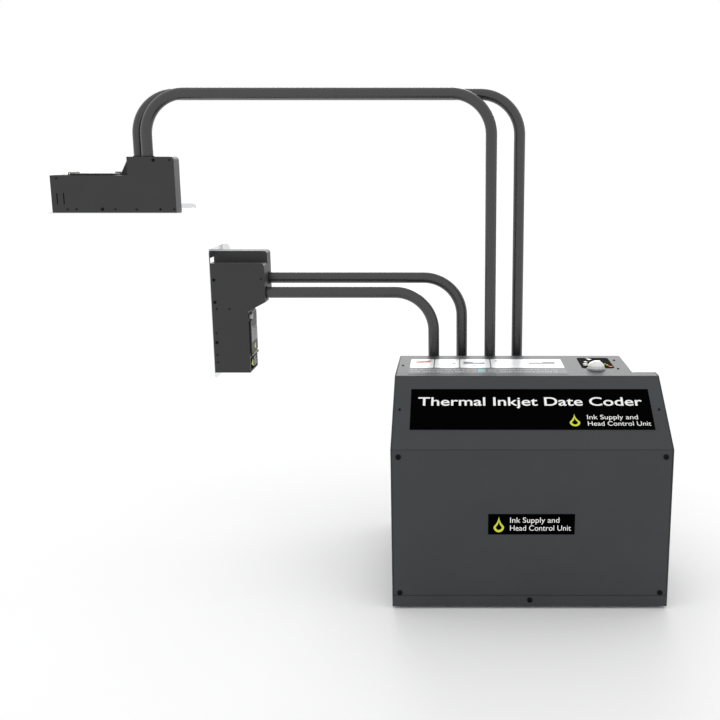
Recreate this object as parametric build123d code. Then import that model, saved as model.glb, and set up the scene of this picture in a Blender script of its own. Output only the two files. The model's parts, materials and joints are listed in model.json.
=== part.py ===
from build123d import *
import os
from math import atan2, cos, radians, sin, tan

# Two-head inkjet date coder, all sizes in millimetres.
# +X is to the operator's right, +Y goes back from the operator, +Z is up.
# The origin is on the floor, at the centre of the four mounting holes of the cabinet.

# ---------------------------------------------------------------- cabinet sizes
cab_width = 500.0
front_height = 297.5       # vertical front, from the base sheet to the crease
slope_rise = 98.5
slope_run = 152.5
top_run = 186.0            # flat top, front edge to back edge
ledge_run = 80.0           # depth of the lower connection ledge behind the top
ledge_drop = 60.0          # ledge below the top
ledge_plate = 4.0
sheet = 2.0
flange = 18.0              # width of the folded edges that the covers screw to
base_lip = 21.0
seam = 0.5                 # gap between neighbouring covers
foot_height = 5.0
foot_radius = 15.0
mount_hole_radius = 3.3
mount_inset_x = 30.0
mount_inset_y = 34.25
bay_width = 45.0           # ink bay in the right rear corner
bay_front = 31.5           # full-width part of the top in front of the bay
bay_floor = 60.0           # bay floor above the base sheet

# ---------------------------------------------------------------- fasteners and fits
cover_screw_radius = 4.75
cover_screw_height = 2.6
small_screw_radius = 2.4
small_screw_height = 1.4
shank_length = 6.0
hole_gap = 0.25            # radial room round a screw shank
run_gap = 0.05             # radial room of a running fit
free_gap = 0.5             # room between pieces that move past each other

# ---------------------------------------------------------------- plates and controls
plate_thick = 1.0
film_thick = 0.4
name_width = 441.0
name_height = 99.7
name_shift = 3.0
name_up_slope = 46.4
badge_width = 155.0
badge_height = 38.4
badge_centre_z = 158.5
label_left = -226.0
label_width = 306.0
label_front = 168.0
label_depth = 136.0
overlay_from_bay = 27.7    # its right edge from the bay
overlay_width = 64.0
overlay_front = 218.0
overlay_depth = 98.0
overlay_corner = 8.0
knob_in = 26.2             # knob centre from the overlay's left edge
knob_behind = 212.6        # knob centre behind the front face
knob_radius = 16.0
knob_height = 14.0
ring_radius = 18.0
ring_height = 2.0
knob_shaft_radius = 3.0
led_radius = 2.2
led_places = ((50.2, 34.0), (52.2, 24.0), (54.2, 14.0))  # from the overlay's front left corner
knob_wall = 5.0            # straight part of the knob's side
knob_flutes = 12
flute_radius = 2.0
flute_out = 1.4
knob_bore = 8.0
shaft_hole = 1.5           # panel's hole past the shaft
switch_half = 13.0
switch_height = 16.0
ring_chamfer = 0.8
badge_shift = 0.8

# ---------------------------------------------------------------- conduits
conduit_radius = 11.5
conduit_wall = 2.0
line_radius = 6.0
bend_radius = 80.0
first_conduit_x = -180.6
conduit_pitch = 58.7
row_pitch = 33.5
conduit_tail = 12.0        # conduit end below the top of the ledge, and inside a head
upper_run_height = 528.5   # upper conduits' level run above the cabinet top
gland_wall = 4.0           # gland's dome past the conduit
gland_hex_wall = 4.5       # half its flats past the conduit
gland_clear = 1.0          # front row's glands behind the back of the top
gland_height = 20.0
gland_hex_share = 0.55     # hex part of the height
gland_neck_wall = 3.0
gland_neck = 8.0           # threaded neck below the ledge
collar_wall = 2.0          # collar round a conduit on its head
collar_height = 1.6
collar_neck_wall = 1.2
collar_neck = 6.0          # inside the head's wall

# ---------------------------------------------------------------- print heads
head_length = 250.0
head_tall = 110.5
head_low = 74.0
half_thick = 37.5
head_wall = 2.5
step_a = 94.0              # where side A steps down
start_b = 22.0             # side B starts this far behind side A
slope_top_b = 102.0
slope_foot_b = 121.0
head_corner = 7.0
port_a = 57.5
port_b = 84.3
upper_head_x = -696.5      # wide end of the upper head
upper_head_z = 295.0       # its print face above the cabinet top
lower_head_x = -636.0      # print face of the lower head
lower_head_z = 214.8       # its wide end above the cabinet top
bar_start = 14.0
bar_length = 115.0
bar_width = 21.0
bar_height = 42.0
bar_gap_b = 3.0            # side B's bar starts this far behind its wide end
bar_rib_inset = 20.0
bar_rib_half = 5.0
bar_rib_height = 7.0
window_end = 2.0           # print window inside the bar's ends
window_side = 1.0          # and inside its sides
nozzle_thick = 0.8
nozzle_inset = 2.0
nozzle_level = 8.2         # nozzle plate above the print face
sled_length = 108.0        # on side A; side B's sled is as long as its travel leaves room for
sled_width = 18.5
sled_height = 4.6
sled_travel = 118.0
sled_park = 6.0            # parked sled from the low end
sled_lift = 0.6            # sled above the inside of the print face
sled_rim = 3.0
sled_floor = 2.0
guide_thick = 1.5
guide_overhang = 13.0
guide_wide_end = 8.0
guide_depth = 110.0
guide_lip = 25.0
guide_lip_angle = 30.0
guide_corner = 12.0
guide_window = 2.0         # guide's cut-out past the bars' ends
guide_window_side = 7.0
lid_start = 126.0
lid_end = 212.0
lid_inset = 6.0
lid_thick = 3.0
lid_lift = 0.3
lid_notch = 16.0
well_end = 6.0             # connection well inside the lid's ends
well_side = 9.0            # and inside the outer faces
well_split = 6.0           # and short of the joint between the halves
well_latch = 22.0          # side B's well starts this far in, past the latch
hinge_radius = 3.0
ear_inset = 14.0           # hinge ear from the outer face of its half
ear_width = 6.0
pin_radius = 1.5
latch_at = 133.0
latch_inset = 14.0         # latch pivot from side B's outer face
latch_radius = 6.0
latch_arm = 13.0
latch_arm_half = 4.5
latch_height = 6.5         # above the low top
stud_radius = 2.0
head_bolt_radius = 2.5     # tapping size of the two mounting holes
head_bolt_first = 32.7
head_bolt_pitch = 48.0
head_bolt_up = 7.0
head_bolt_depth = 6.5
boss_radius = 4.4
side_slot_places = (225.0, 238.5)
side_slot_half = 1.1
side_slot_levels = (17.0, 39.0)
big_screw_radius = 3.2
tiny_screw_radius = 1.7
head_screw_height = 0.9
driver_slot_width = 0.6
driver_slot_depth = 0.4
driver_board_thick = 1.6
driver_board_side = 4.0    # board from the outer face of its half
driver_board_end = 5.0     # and from its wide end
driver_board_lengths = (36.0, 62.0)
driver_board_up = 10.0     # above the print bar's underside
driver_board_gap = 4.0     # below the ends of the conduits
chip_pitch = 16.0
chip_size = (12.0, 2.0, 10.0)

# ---------------------------------------------------------------- parts inside the cabinet
chassis_behind = 240.0     # chassis plate behind the front face
chassis_top_gap = 40.0     # chassis plate below the ledge
chassis_foot = 15.0
chassis_side_gap = 12.0    # from the bay's wall
fold_gap = 2.0             # pieces inside stand this far from the side's folded edge
supply_size = (200.0, 110.0, 50.0)
supply_behind = 20.0       # behind the chassis plate
supply_edge = 1.5
supply_slots = 14
supply_slot_pitch = 12.0
supply_slot_width = 4.0
supply_slot_inset = (20.0, 15.0)
board_size = (230.0, 160.0, 1.6)
board_corner = (6.0, 70.0)  # from the supply's left end, and above the floor
standoff_height = 10.0
standoff_radius = 3.0
standoff_inset = 8.0
chips = ((30, 90, 30, 30, 4), (80, 85, 18, 18, 3), (120, 95, 40, 14, 9), (175, 40, 24, 60, 12),
         (30, 25, 50, 12, 9), (100, 30, 22, 22, 6))  # right, up, width, height, thickness
pump_radius = 31.0
pump_depth = 24.0
pump_x = 100.0
pump_levels = (115.0, 205.0)
motor_radius = 18.0
motor_length = 50.0
pump_shaft_radius = 3.0
pump_wall = 6.0
pump_back = 5.0
rotor_hub_radius = 8.0
rotor_hub_length = 14.0
rotor_arm = (16.0, 8.0, 3.0)
rotor_arm_out = 7.0
roller_radius = 5.5
roller_out = 15.0
fan_size = 80.0
fan_depth = 25.0
fan_x = 95.0
fan_z = 215.0
fan_blades = 7
fan_rim = 2.0
fan_hub_radius = 16.0
fan_hub_depth = 3.0
fan_shaft_radius = 2.0
fan_rotor_radius = 15.0
fan_rotor_depth = 18.0
blade_angle = 38.0
blade_thick = 1.6
blade_chord = 15.0
strut_width = 4.0
strut_depth = 2.5
grille_pitch = 10.0
grille_slot = 5.0
inlet_cutout = (-190.0, 62.0, 48.0, 27.0)   # X, Z, width, height
ports_cutout = (-105.0, 62.0, 60.0, 14.0)
inlet_flange = 4.0
inlet_flange_thick = 3.0
inlet_depth = 26.0
cutout_gap = 0.2
socket_right = 9.0         # socket and rocker from the inlet's middle
socket_half = (12.0, 9.0)
socket_depth = 14.0
socket_pins = ((-7, -2), (7, -2), (0, 4))
pin_half = (1.0, 2.0)
pin_short = 2.0
rocker_left = 15.0
rocker_half = (6.0, 9.0)
rocker_depth = 12.0
rocker_pivot = 2.0         # its axle inside the rear face
axle_radius = 1.5
port_count = 3
port_pitch = 20.0
port_half = 8.0
port_wall = 2.0
port_depth = 18.0
port_socket_depth = 10.0
port_out = 1.5
rocker_tip = 8.0           # rocker's tilt each way, at rest in the off position
container_gap = 1.5
container_length = 135.0
container_below_top = 80.5  # its shoulder below the cabinet's top
container_edge = 5.0
cap_radius = 14.0
cap_height = 16.0
cap_behind = 24.0          # cap behind the container's front
cap_ribs = 16
container_behind = 4.0     # container behind the bay's front wall
grip_behind = 45.0
grip_length = 45.0
grip_depth = 6.0
grip_levels = (62.0, 34.0)  # grip below the shoulder
dock_radius = 6.0
dock_reach = 11.0
dock_behind = 40.0         # dock behind the bay's front wall
dock_up = 30.0
dock_back = 12.0           # dock behind the bay's wall
dock_collar = 4.0
tube_radius = 4.0
tube_reach = 15.0
tube_length = 68.0
tube_start = 8.0
tube_below_top = 14.0
tube_wall = 1.0
tube_bend = 7.0
tube_tail = 6.0            # tube's ends behind the bay's wall
nut_flats = 13.0
nut_length = 3.5

# ---------------------------------------------------------------- places worked out from the sizes
half_width = cab_width / 2
cab_depth = slope_run + top_run + ledge_run
y_front = -cab_depth / 2
y_rear = cab_depth / 2
y_top_front = y_front + slope_run
y_back = y_top_front + top_run
y_bay = y_top_front + bay_front
z_base = foot_height
z_floor = z_base + sheet
z_crease = z_base + front_height
z_top = z_crease + slope_rise
z_ledge = z_top - ledge_drop
z_bay = z_base + bay_floor
x_inner = half_width - sheet
x_bay = half_width - bay_width
overlay_left = x_bay - overlay_from_bay - overlay_width
knob_x = overlay_left + knob_in
slope_angle = atan2(slope_rise, slope_run)
gland_flats = 2 * (conduit_radius + gland_hex_wall)
near_row = gland_flats / 2 + gland_clear
row_y = (y_back + near_row, y_back + near_row + row_pitch)
port_across = (half_thick - row_pitch / 2, half_thick + row_pitch / 2)
z_print = z_top + upper_head_z
z_wide_end = z_top + lower_head_z

slope_plane = Plane(origin=(0, y_front, z_crease), x_dir=(1, 0, 0),
                    z_dir=(0, -sin(slope_angle), cos(slope_angle)))
upper_head = Plane(origin=(upper_head_x, row_y[0] - port_across[0], z_print), x_dir=(1, 0, 0),
                   z_dir=(0, 0, 1))
lower_head = Plane(origin=(lower_head_x, row_y[0] + port_across[1], z_wide_end), x_dir=(0, 0, 1),
                   z_dir=(1, 0, 0))

nodes = {}


# ---------------------------------------------------------------- small helpers
def block(x0, x1, y0, y1, z0, z1):
    """Box between two corners."""
    corner = (Align.MIN, Align.MIN, Align.MIN)
    return Pos(x0, y0, z0) * Box(x1 - x0, y1 - y0, z1 - z0, align=corner)


def rod(plane, radius, length):
    """Cylinder that starts on a plane and follows its normal."""
    return extrude(plane * Circle(radius), amount=length)


def outward(x, y, z, direction):
    """Plane at a point whose normal is the given direction."""
    return Plane(origin=(x, y, z), z_dir=direction)


def side_slab(points, x0, x1):
    """Closed outline of (y, z) points, extruded from x0 to x1."""
    outline = make_face(Polyline(*points, close=True))
    return extrude(Plane.YZ.offset(x0) * outline, amount=x1 - x0)


def head_slab(outline, t0, t1):
    """Outline in a head's length and height, extruded across the head from t0 to t1."""
    return extrude(Plane.XZ.offset(-t0) * outline, amount=t0 - t1)


def screw(plane, radius, height, shank):
    """Button-head screw seated on a plane, shank going in."""
    head = rod(plane, radius, height)
    rim = head.edges().sort_by(Axis(plane.origin, plane.z_dir))[-1]
    head = fillet(rim, height * 0.45)
    socket = rod(plane.offset(height - min(height * 0.5, 1.2)), radius * 0.45, height)
    return head - socket + rod(plane, shank, -shank_length)


def drill(body, planes, radius, depth):
    """Holes through a body, one for each plane, to the depth on both sides of it."""
    for plane in planes:
        body = body - rod(plane.offset(-depth), radius, 2 * depth)
    return body


def hex_prism(plane, flats, height):
    """Hexagonal nut blank."""
    return extrude(plane * RegularPolygon(flats / 2, 6, major_radius=False), amount=height)


# ---------------------------------------------------------------- cabinet outlines
shared_outline = [(y_front, z_base), (y_front, z_crease), (y_top_front, z_top)]
left_outline = shared_outline + [(y_back, z_top), (y_back, z_ledge), (y_rear, z_ledge),
                                 (y_rear, z_base)]
right_outline = shared_outline + [(y_bay, z_top), (y_bay, z_bay), (y_rear, z_bay),
                                  (y_rear, z_base)]


def side_panel(points, side):
    """Side sheet with an edge folded inwards all round, set back one sheet for the covers."""
    outline = make_face(Polyline(*points, close=True))
    seat = offset(outline, amount=-sheet, kind=Kind.INTERSECTION)
    hollow = offset(outline, amount=-2 * sheet, kind=Kind.INTERSECTION)
    plane = Plane.YZ.offset(side * x_inner)
    skin = extrude(plane * outline, amount=side * sheet)
    edge = extrude(plane * (seat - hollow), amount=-side * flange)
    return skin + edge


def vent_slots(count, length, width, pitch):
    """Column of rounded slots about the origin."""
    return [Pos(0, (i - (count - 1) / 2) * pitch) * SlotOverall(length, width)
            for i in range(count)]


# ---------------------------------------------------------------- screw places
edge_x = half_width - 13.7
cover_screw_planes = [outward(x, y_front, z, (0, -1, 0))
                      for x in (-edge_x, edge_x)
                      for z in (z_base + base_lip + 5.5, z_crease - 13.5)]
lip_screw_plane = outward(0, y_front, z_base + base_lip * 0.58, (0, -1, 0))
slope_screw_planes = [Plane(slope_plane.location * Pos(side * (half_width - 12.7), 95.3, 0))
                      for side in (-1, 1)]
top_screw_planes = [outward(-half_width + 10.8, y_front + 243.7, z_top, (0, 0, 1)),
                    outward(x_bay - 17.5, y_front + 292.3, z_top, (0, 0, 1)),
                    outward(x_bay - 22.2, y_front + 214.4, z_top, (0, 0, 1))]
rear_screw_planes = [outward(x, y_rear, z, (0, 1, 0))
                     for x in (-half_width + 10, 0, x_bay - 10)
                     for z in (z_base + 10, z_ledge - 14)
                     if (x, z) != (0, z_base + 10)]
side_screw_planes = [outward(side * half_width, y, z_base + 10, (side, 0, 0))
                     for side in (-1, 1)
                     for y in (y_front + 40, 0, y_rear - 40)]


# ---------------------------------------------------------------- cabinet shell
def build_base():
    holes = [outward(sx * (half_width - mount_inset_x), sy * (y_rear - mount_inset_y), z_base,
                     (0, 0, -1)) for sx in (-1, 1) for sy in (-1, 1)]
    floor = block(-x_inner, x_inner, y_front, y_rear - sheet, z_base, z_floor)
    lip = block(-x_inner, x_inner, y_front, y_front + sheet, z_base, z_base + base_lip)
    pan = drill(floor + lip, holes, mount_hole_radius, sheet + foot_height)
    pan = drill(pan, [lip_screw_plane], 2.0 + hole_gap, shank_length)
    for slot in vent_slots(6, 70, 4, 12):
        pan = pan - extrude(Pos(-60, -70, z_base) * slot, amount=sheet)
    nodes["base_pan"] = pan
    feet = []
    for hole in holes:
        ring = extrude(Plane.XY * Pos(hole.origin.X, hole.origin.Y)
                       * (Circle(foot_radius) - Circle(mount_hole_radius)), amount=foot_height)
        feet.append(chamfer(ring.edges().group_by(Axis.Z)[0].sort_by(SortBy.RADIUS)[-1], 1.0))
    nodes["foot_pads"] = feet


def build_sides():
    ledge = block(-x_inner, x_bay, y_back - flange, y_rear, z_ledge - ledge_plate, z_ledge)
    left = side_panel(left_outline, -1) - ledge
    right = side_panel(right_outline, 1)
    screws = cover_screw_planes + slope_screw_planes + top_screw_planes + rear_screw_planes
    for name, panel in (("left_side_panel", left), ("right_side_panel", right)):
        panel = drill(panel, screws, 2.0 + hole_gap, shank_length + 1)
        nodes[name] = drill(panel, side_screw_planes, 1.5 + hole_gap, shank_length + 1)


def build_bay():
    wall_tall = block(x_bay - sheet, x_bay, y_bay - sheet, y_back - sheet, z_bay - sheet,
                      z_top - sheet)
    wall_low = block(x_bay - sheet, x_bay, y_back - sheet, y_rear - sheet, z_bay - sheet,
                     z_ledge - ledge_plate)
    front = block(x_bay - sheet, x_inner, y_bay - sheet, y_bay, z_bay - sheet, z_top - sheet)
    floor = block(x_bay - sheet, x_inner, y_bay - sheet, y_rear - sheet, z_bay - sheet, z_bay)
    tab = block(x_bay - 35, x_bay - sheet, y_bay, y_back - 2 * sheet, z_top - 2 * sheet,
                z_top - sheet)
    liner = wall_tall + wall_low + front + floor + tab
    liner = liner - block(x_bay - sheet, x_bay, y_back - flange, y_rear, z_ledge - ledge_plate,
                          z_ledge)
    liner = drill(liner, top_screw_planes, 1.5 + hole_gap, shank_length)
    tube_y = (y_bay + tube_start, y_bay + tube_start + tube_length)
    tube_z = z_top - tube_below_top
    ports = [outward(x_bay, y, tube_z, (1, 0, 0)) for y in tube_y]
    liner = drill(liner, ports, tube_radius + hole_gap, 4 * sheet)
    dock = outward(x_bay, y_bay + dock_behind, z_bay + dock_up, (1, 0, 0))
    nodes["bay_liner"] = drill(liner, [dock], dock_radius + hole_gap, 4 * sheet)
    nodes["ink_dock"] = rod(dock.offset(-dock_back), dock_radius, dock_back + dock_reach) \
        + rod(dock.offset(-sheet - dock_collar), dock_radius + dock_collar, dock_collar)

    x0 = x_bay + container_gap
    x1 = half_width - container_gap
    y0 = y_bay + container_behind
    z0 = z_bay + free_gap
    z1 = z_top - container_below_top
    bottle = block(x0, x1, y0, y0 + container_length, z0, z1)
    bottle = fillet(bottle.edges(), container_edge)
    grip = block(x1 - grip_depth, x1 + 1, y0 + grip_behind, y0 + grip_behind + grip_length,
                 z1 - grip_levels[0], z1 - grip_levels[1])
    bottle = bottle - fillet(grip.edges().filter_by(Axis.X), grip_depth)
    bottle = bottle - rod(dock.offset(-1), dock_radius + free_gap, dock_reach + 3)
    nodes["ink_container"] = bottle
    cap_plane = outward((x0 + x1) / 2, y0 + cap_behind, z1, (0, 0, 1))
    cap = rod(cap_plane, cap_radius, cap_height)
    cap = chamfer(cap.edges().group_by(Axis.Z)[-1], 1.2)
    for i in range(cap_ribs):
        rib = cap_plane * Rot(0, 0, i * 360 / cap_ribs) * Pos(cap_radius, 0, cap_height / 2 - 1)
        cap = cap - rib * Box(1.0, 2.0, cap_height - 4)
    nodes["container_cap"] = cap

    # Clear sight tube: out of the wall, along it and back in, with a nut at each end.
    centre_out = tube_reach - tube_radius
    start = Vector(x_bay - tube_tail, tube_y[0], tube_z)
    route = FilletPolyline(start, (x_bay + centre_out, tube_y[0], tube_z),
                           (x_bay + centre_out, tube_y[1], tube_z),
                           (x_bay - tube_tail, tube_y[1], tube_z), radius=tube_bend)
    wall = Circle(tube_radius) - Circle(tube_radius - tube_wall)
    nodes["sight_tube"] = sweep(Plane(origin=start, z_dir=(1, 0, 0)) * wall, path=route)
    nodes["tube_nuts"] = [drill(hex_prism(port, nut_flats, nut_length), [port], tube_radius,
                                2 * nut_length) for port in ports]


def build_covers():
    cover = block(-x_inner + seam, x_inner - seam, y_front, y_front + sheet,
                  z_base + base_lip + seam, z_crease - seam)
    cover = fillet(cover.edges().group_by(Axis.Y)[0], 0.8)
    nodes["front_cover"] = drill(cover, cover_screw_planes, 2.0 + hole_gap, shank_length)

    back_off = sheet / sin(slope_angle)
    cut_y = y_top_front - seam
    cut_z = z_crease + (cut_y - y_front) * tan(slope_angle)
    inner_z = z_crease + (cut_y - y_front - back_off) * tan(slope_angle)
    fascia = side_slab([(y_front, z_crease), (cut_y, cut_z), (cut_y, inner_z),
                        (y_front + back_off, z_crease)], -x_inner + seam, x_inner - seam)
    nodes["sloped_fascia"] = drill(fascia, slope_screw_planes, 1.5 + hole_gap, shank_length)

    top = block(-x_inner + seam, x_inner - seam, y_top_front, y_bay, z_top - sheet, z_top) \
        + block(-x_inner + seam, x_bay, y_bay, y_back, z_top - sheet, z_top) \
        + block(-x_inner + seam, x_bay, y_back - sheet, y_back, z_ledge, z_top)
    top = drill(top, top_screw_planes, 1.5 + hole_gap, shank_length)
    knob = outward(knob_x, y_front + knob_behind, z_top, (0, 0, 1))
    nodes["top_panel"] = drill(top, [knob], knob_shaft_radius + shaft_hole, 2 * sheet)

    ledge = block(-x_inner, x_bay, y_back - flange, y_rear - sheet, z_ledge - ledge_plate, z_ledge)
    glands = [outward(x, y, z_ledge, (0, 0, 1)) for x, y in conduit_feet]
    nodes["gland_ledge"] = drill(ledge, glands, conduit_radius + gland_neck_wall + free_gap,
                                 2 * ledge_plate)

    rear = block(-x_inner, x_inner, y_rear - sheet, y_rear, z_base, z_bay) \
        + block(-x_inner, x_bay, y_rear - sheet, y_rear, z_bay, z_ledge)
    rear = drill(rear, rear_screw_planes, 1.5 + hole_gap, shank_length)
    grille = Plane(origin=(fan_x, y_rear, fan_z), x_dir=(-1, 0, 0), z_dir=(0, 1, 0))
    rows = int((fan_size / 2 - grille_pitch) // grille_pitch)
    for i in range(-rows, rows + 1):
        length = 2 * (fan_size ** 2 / 4 - (grille_pitch * i) ** 2) ** 0.5 - 4 * fan_rim
        slot = grille * Pos(0, grille_pitch * i) * SlotOverall(length, grille_slot)
        rear = rear - extrude(slot, amount=-sheet)
    for x, z, w, h in (inlet_cutout, ports_cutout):
        rear = rear - block(x - w / 2, x + w / 2, y_rear - sheet, y_rear, z - h / 2, z + h / 2)
    nodes["rear_panel"] = rear


def build_screws():
    big = [screw(p, cover_screw_radius, cover_screw_height, 2.0)
           for p in cover_screw_planes + [lip_screw_plane]]
    nodes["cover_screws"] = big
    places = slope_screw_planes + top_screw_planes + rear_screw_planes + side_screw_planes
    nodes["panel_screws"] = [screw(p, small_screw_radius, small_screw_height, 1.5)
                             for p in places]


# ---------------------------------------------------------------- plates, labels and controls
def build_plates():
    name = slope_plane * Pos(name_shift, name_up_slope + name_height / 2) \
        * Rectangle(name_width, name_height)
    nodes["name_plate"] = extrude(name, amount=plate_thick)
    badge = Plane(origin=(badge_shift, y_front, z_base + badge_centre_z), x_dir=(1, 0, 0),
                  z_dir=(0, -1, 0)) * Rectangle(badge_width, badge_height)
    nodes["front_badge"] = extrude(badge, amount=plate_thick)
    nodes["instruction_label"] = block(label_left, label_left + label_width,
                                       y_front + label_front,
                                       y_front + label_front + label_depth,
                                       z_top, z_top + film_thick)
    overlay = Pos(overlay_left + overlay_width / 2, y_front + overlay_front + overlay_depth / 2,
                  z_top) * RectangleRounded(overlay_width, overlay_depth, overlay_corner)
    knob = outward(knob_x, y_front + knob_behind, z_top, (0, 0, 1))
    film = extrude(overlay, amount=film_thick)
    nodes["control_overlay"] = drill(film, [knob], ring_radius + hole_gap, film_thick + 1)

    ring = extrude(knob * (Circle(ring_radius) - Circle(knob_shaft_radius + shaft_hole)),
                   amount=ring_height)
    rim = ring.edges().group_by(Axis.Z)[-1].sort_by(SortBy.RADIUS)[-1]
    nodes["knob_ring"] = chamfer(rim, ring_chamfer)
    grip_base = ring_height + free_gap
    rise = knob_height - knob_wall
    ball = (knob_radius ** 2 + rise ** 2) / (2 * rise)
    dome = Pos(knob_x, y_front + knob_behind, z_top + grip_base + knob_height - ball) \
        * Sphere(ball)
    grip = rod(knob.offset(grip_base), knob_radius, knob_height) & dome
    for i in range(knob_flutes):
        flute = knob.offset(grip_base) * Rot(0, 0, (i + 0.5) * 360 / knob_flutes) \
            * Pos(knob_radius + flute_out, 0)
        grip = grip - extrude(flute * Circle(flute_radius), amount=knob_height)
    nodes["selector_knob"] = grip - rod(knob.offset(grip_base - 1),
                                        knob_shaft_radius + run_gap, knob_bore + 1)
    knob_y = y_front + knob_behind
    switch = block(knob_x - switch_half, knob_x + switch_half, knob_y - switch_half,
                   knob_y + switch_half, z_top - sheet - switch_height, z_top - sheet)
    nodes["selector_switch"] = switch + rod(knob.offset(-sheet), knob_shaft_radius,
                                            sheet + grip_base + knob_bore - 1)
    leds = []
    for right, back in led_places:
        lens = Pos(overlay_left + right, y_front + overlay_front + back, z_top + film_thick)
        keep = lens * Pos(0, 0, led_radius / 2) * Box(3 * led_radius, 3 * led_radius, led_radius)
        leds.append(lens * Sphere(led_radius) & keep)
    nodes["status_leds"] = leds


# ---------------------------------------------------------------- conduits
conduit_feet = [(first_conduit_x + i * conduit_pitch, row_y[i % 2]) for i in range(4)]


def head_port(frame, side):
    """World place where a conduit enters a head: side 0 is A, side 1 is B."""
    along = (port_a, port_b)[side]
    return (frame.location * Pos(-along, port_across[side], head_tall)).position


def conduit_route(number):
    """Centreline of one conduit, from inside the ledge to inside its head."""
    x, y = conduit_feet[number]
    start = Vector(x, y, z_ledge - conduit_tail)
    if number < 2:
        port = head_port(lower_head, 1 - number)
        return start, FilletPolyline(start, (x, y, port.Z),
                                     (port.X - conduit_tail, y, port.Z), radius=bend_radius)
    port = head_port(upper_head, number - 2)
    run_z = z_top + upper_run_height
    return start, FilletPolyline(start, (x, y, run_z), (port.X, y, run_z),
                                 (port.X, y, port.Z - conduit_tail), radius=bend_radius)


def gland(plane, flats, height, plate):
    """Gland round a conduit: flange, hex and dome outside, threaded neck inside."""
    body = hex_prism(plane, flats, height * gland_hex_share)
    body = body + rod(plane, conduit_radius + gland_wall, height)
    below = plate + gland_neck
    body = body + rod(plane.offset(-below), conduit_radius + gland_neck_wall, below)
    return body - rod(plane.offset(-below - 1), conduit_radius, height + below + 2)


def build_conduits():
    lines = []
    for number in range(4):
        start, route = conduit_route(number)
        plane = Plane(origin=start, z_dir=(0, 0, 1))
        wall = Circle(conduit_radius) - Circle(conduit_radius - conduit_wall)
        nodes[f"conduit_{number + 1}"] = sweep(plane * wall, path=route)
        lines.append(sweep(plane * Circle(line_radius), path=route))
    nodes["umbilical_lines"] = lines
    glands = [gland(outward(x, y, z_ledge, (0, 0, 1)), gland_flats, gland_height, ledge_plate)
              for x, y in conduit_feet]
    for frame, axis in ((upper_head, (0, 0, 1)), (lower_head, (1, 0, 0))):
        for side in (0, 1):
            port = head_port(frame, side)
            plane = Plane(origin=port, z_dir=axis)
            below = head_wall + collar_neck
            collar = rod(plane, conduit_radius + collar_wall, collar_height) \
                + rod(plane.offset(-below), conduit_radius + collar_neck_wall, below)
            glands.append(collar - rod(plane.offset(-below - 1), conduit_radius,
                                       below + collar_height + 2))
    nodes["conduit_glands"] = glands


# ---------------------------------------------------------------- print heads
outline_a = [(0, 0), (0, head_tall), (-step_a, head_tall), (-step_a, head_low),
             (-head_length, head_low), (-head_length, 0)]
outline_b = [(-start_b, 0), (-start_b, head_tall), (-slope_top_b, head_tall),
             (-slope_foot_b, head_low), (-head_length, head_low), (-head_length, 0)]
screws_a = [(219, 7, 0), (201, 7, 0), (149, 7, 1), (123, 7, 0), (4.5, 7, 0), (9, 104, 0),
            (237, 68, 0), (41, 104, 1)]
screws_b = [(56, 7, 1), (102, 7, 1), (186, 7, 1), (116, 10, 0), (116, 36, 0), (166, 7, 0),
            (212, 7, 0), (228, 7, 0), (54, 104, 0)]


def half_shell(points, t0, t1):
    """Closed shell of one half of a head, with its tall corner rounded."""
    outline = make_face(Polyline(*points, close=True))
    corner = outline.vertices().sort_by(Axis.X)[-2:].sort_by(Axis.Y)[-1]
    outline = fillet(corner, head_corner)
    inside = offset(outline, amount=-head_wall, kind=Kind.INTERSECTION)
    return head_slab(outline, t0, t1) - head_slab(inside, t0 + head_wall, t1 - head_wall)


def head_box(u0, u1, t0, t1, w0, w1):
    """Box in head measures: along from the wide end, across, and above the print face."""
    return block(-u1, -u0, t0, t1, w0, w1)


def driver_board(side, t0, bar_w):
    """Circuit board with three chips, above one print bar."""
    board_u = driver_board_end + (start_b if side == "b" else 0)
    face = t0 + driver_board_side + driver_board_thick
    chip_long, chip_out, chip_tall = chip_size
    board = head_box(board_u, board_u + driver_board_lengths[side == "b"], t0 + driver_board_side,
                     face, bar_w + driver_board_up, head_tall - conduit_tail - driver_board_gap)
    for i in range(3):
        chip_w = bar_w + driver_board_up + chip_pitch / 2 + i * chip_pitch
        chip_u = board_u + chip_long / 2
        board = board + head_box(chip_u, chip_u + chip_long, face, face + chip_out, chip_w,
                                 chip_w + chip_tall)
    return board


def sled(side, middle):
    """Tray that parks in the low part and slides under its print bar."""
    u1 = head_length - sled_park
    u0 = u1 - sled_length
    if side == "b":
        u0 = max(u0, start_b + head_wall + free_gap + sled_travel)
    w0 = head_wall + sled_lift
    tray = head_box(u0, u1, middle - sled_width / 2, middle + sled_width / 2, w0,
                    w0 + sled_height)
    return tray - head_box(u0 + sled_rim, u1 - sled_rim, middle - sled_width / 2 + sled_rim,
                           middle + sled_width / 2 - sled_rim, w0 + sled_floor,
                           w0 + sled_height + 1)


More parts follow.
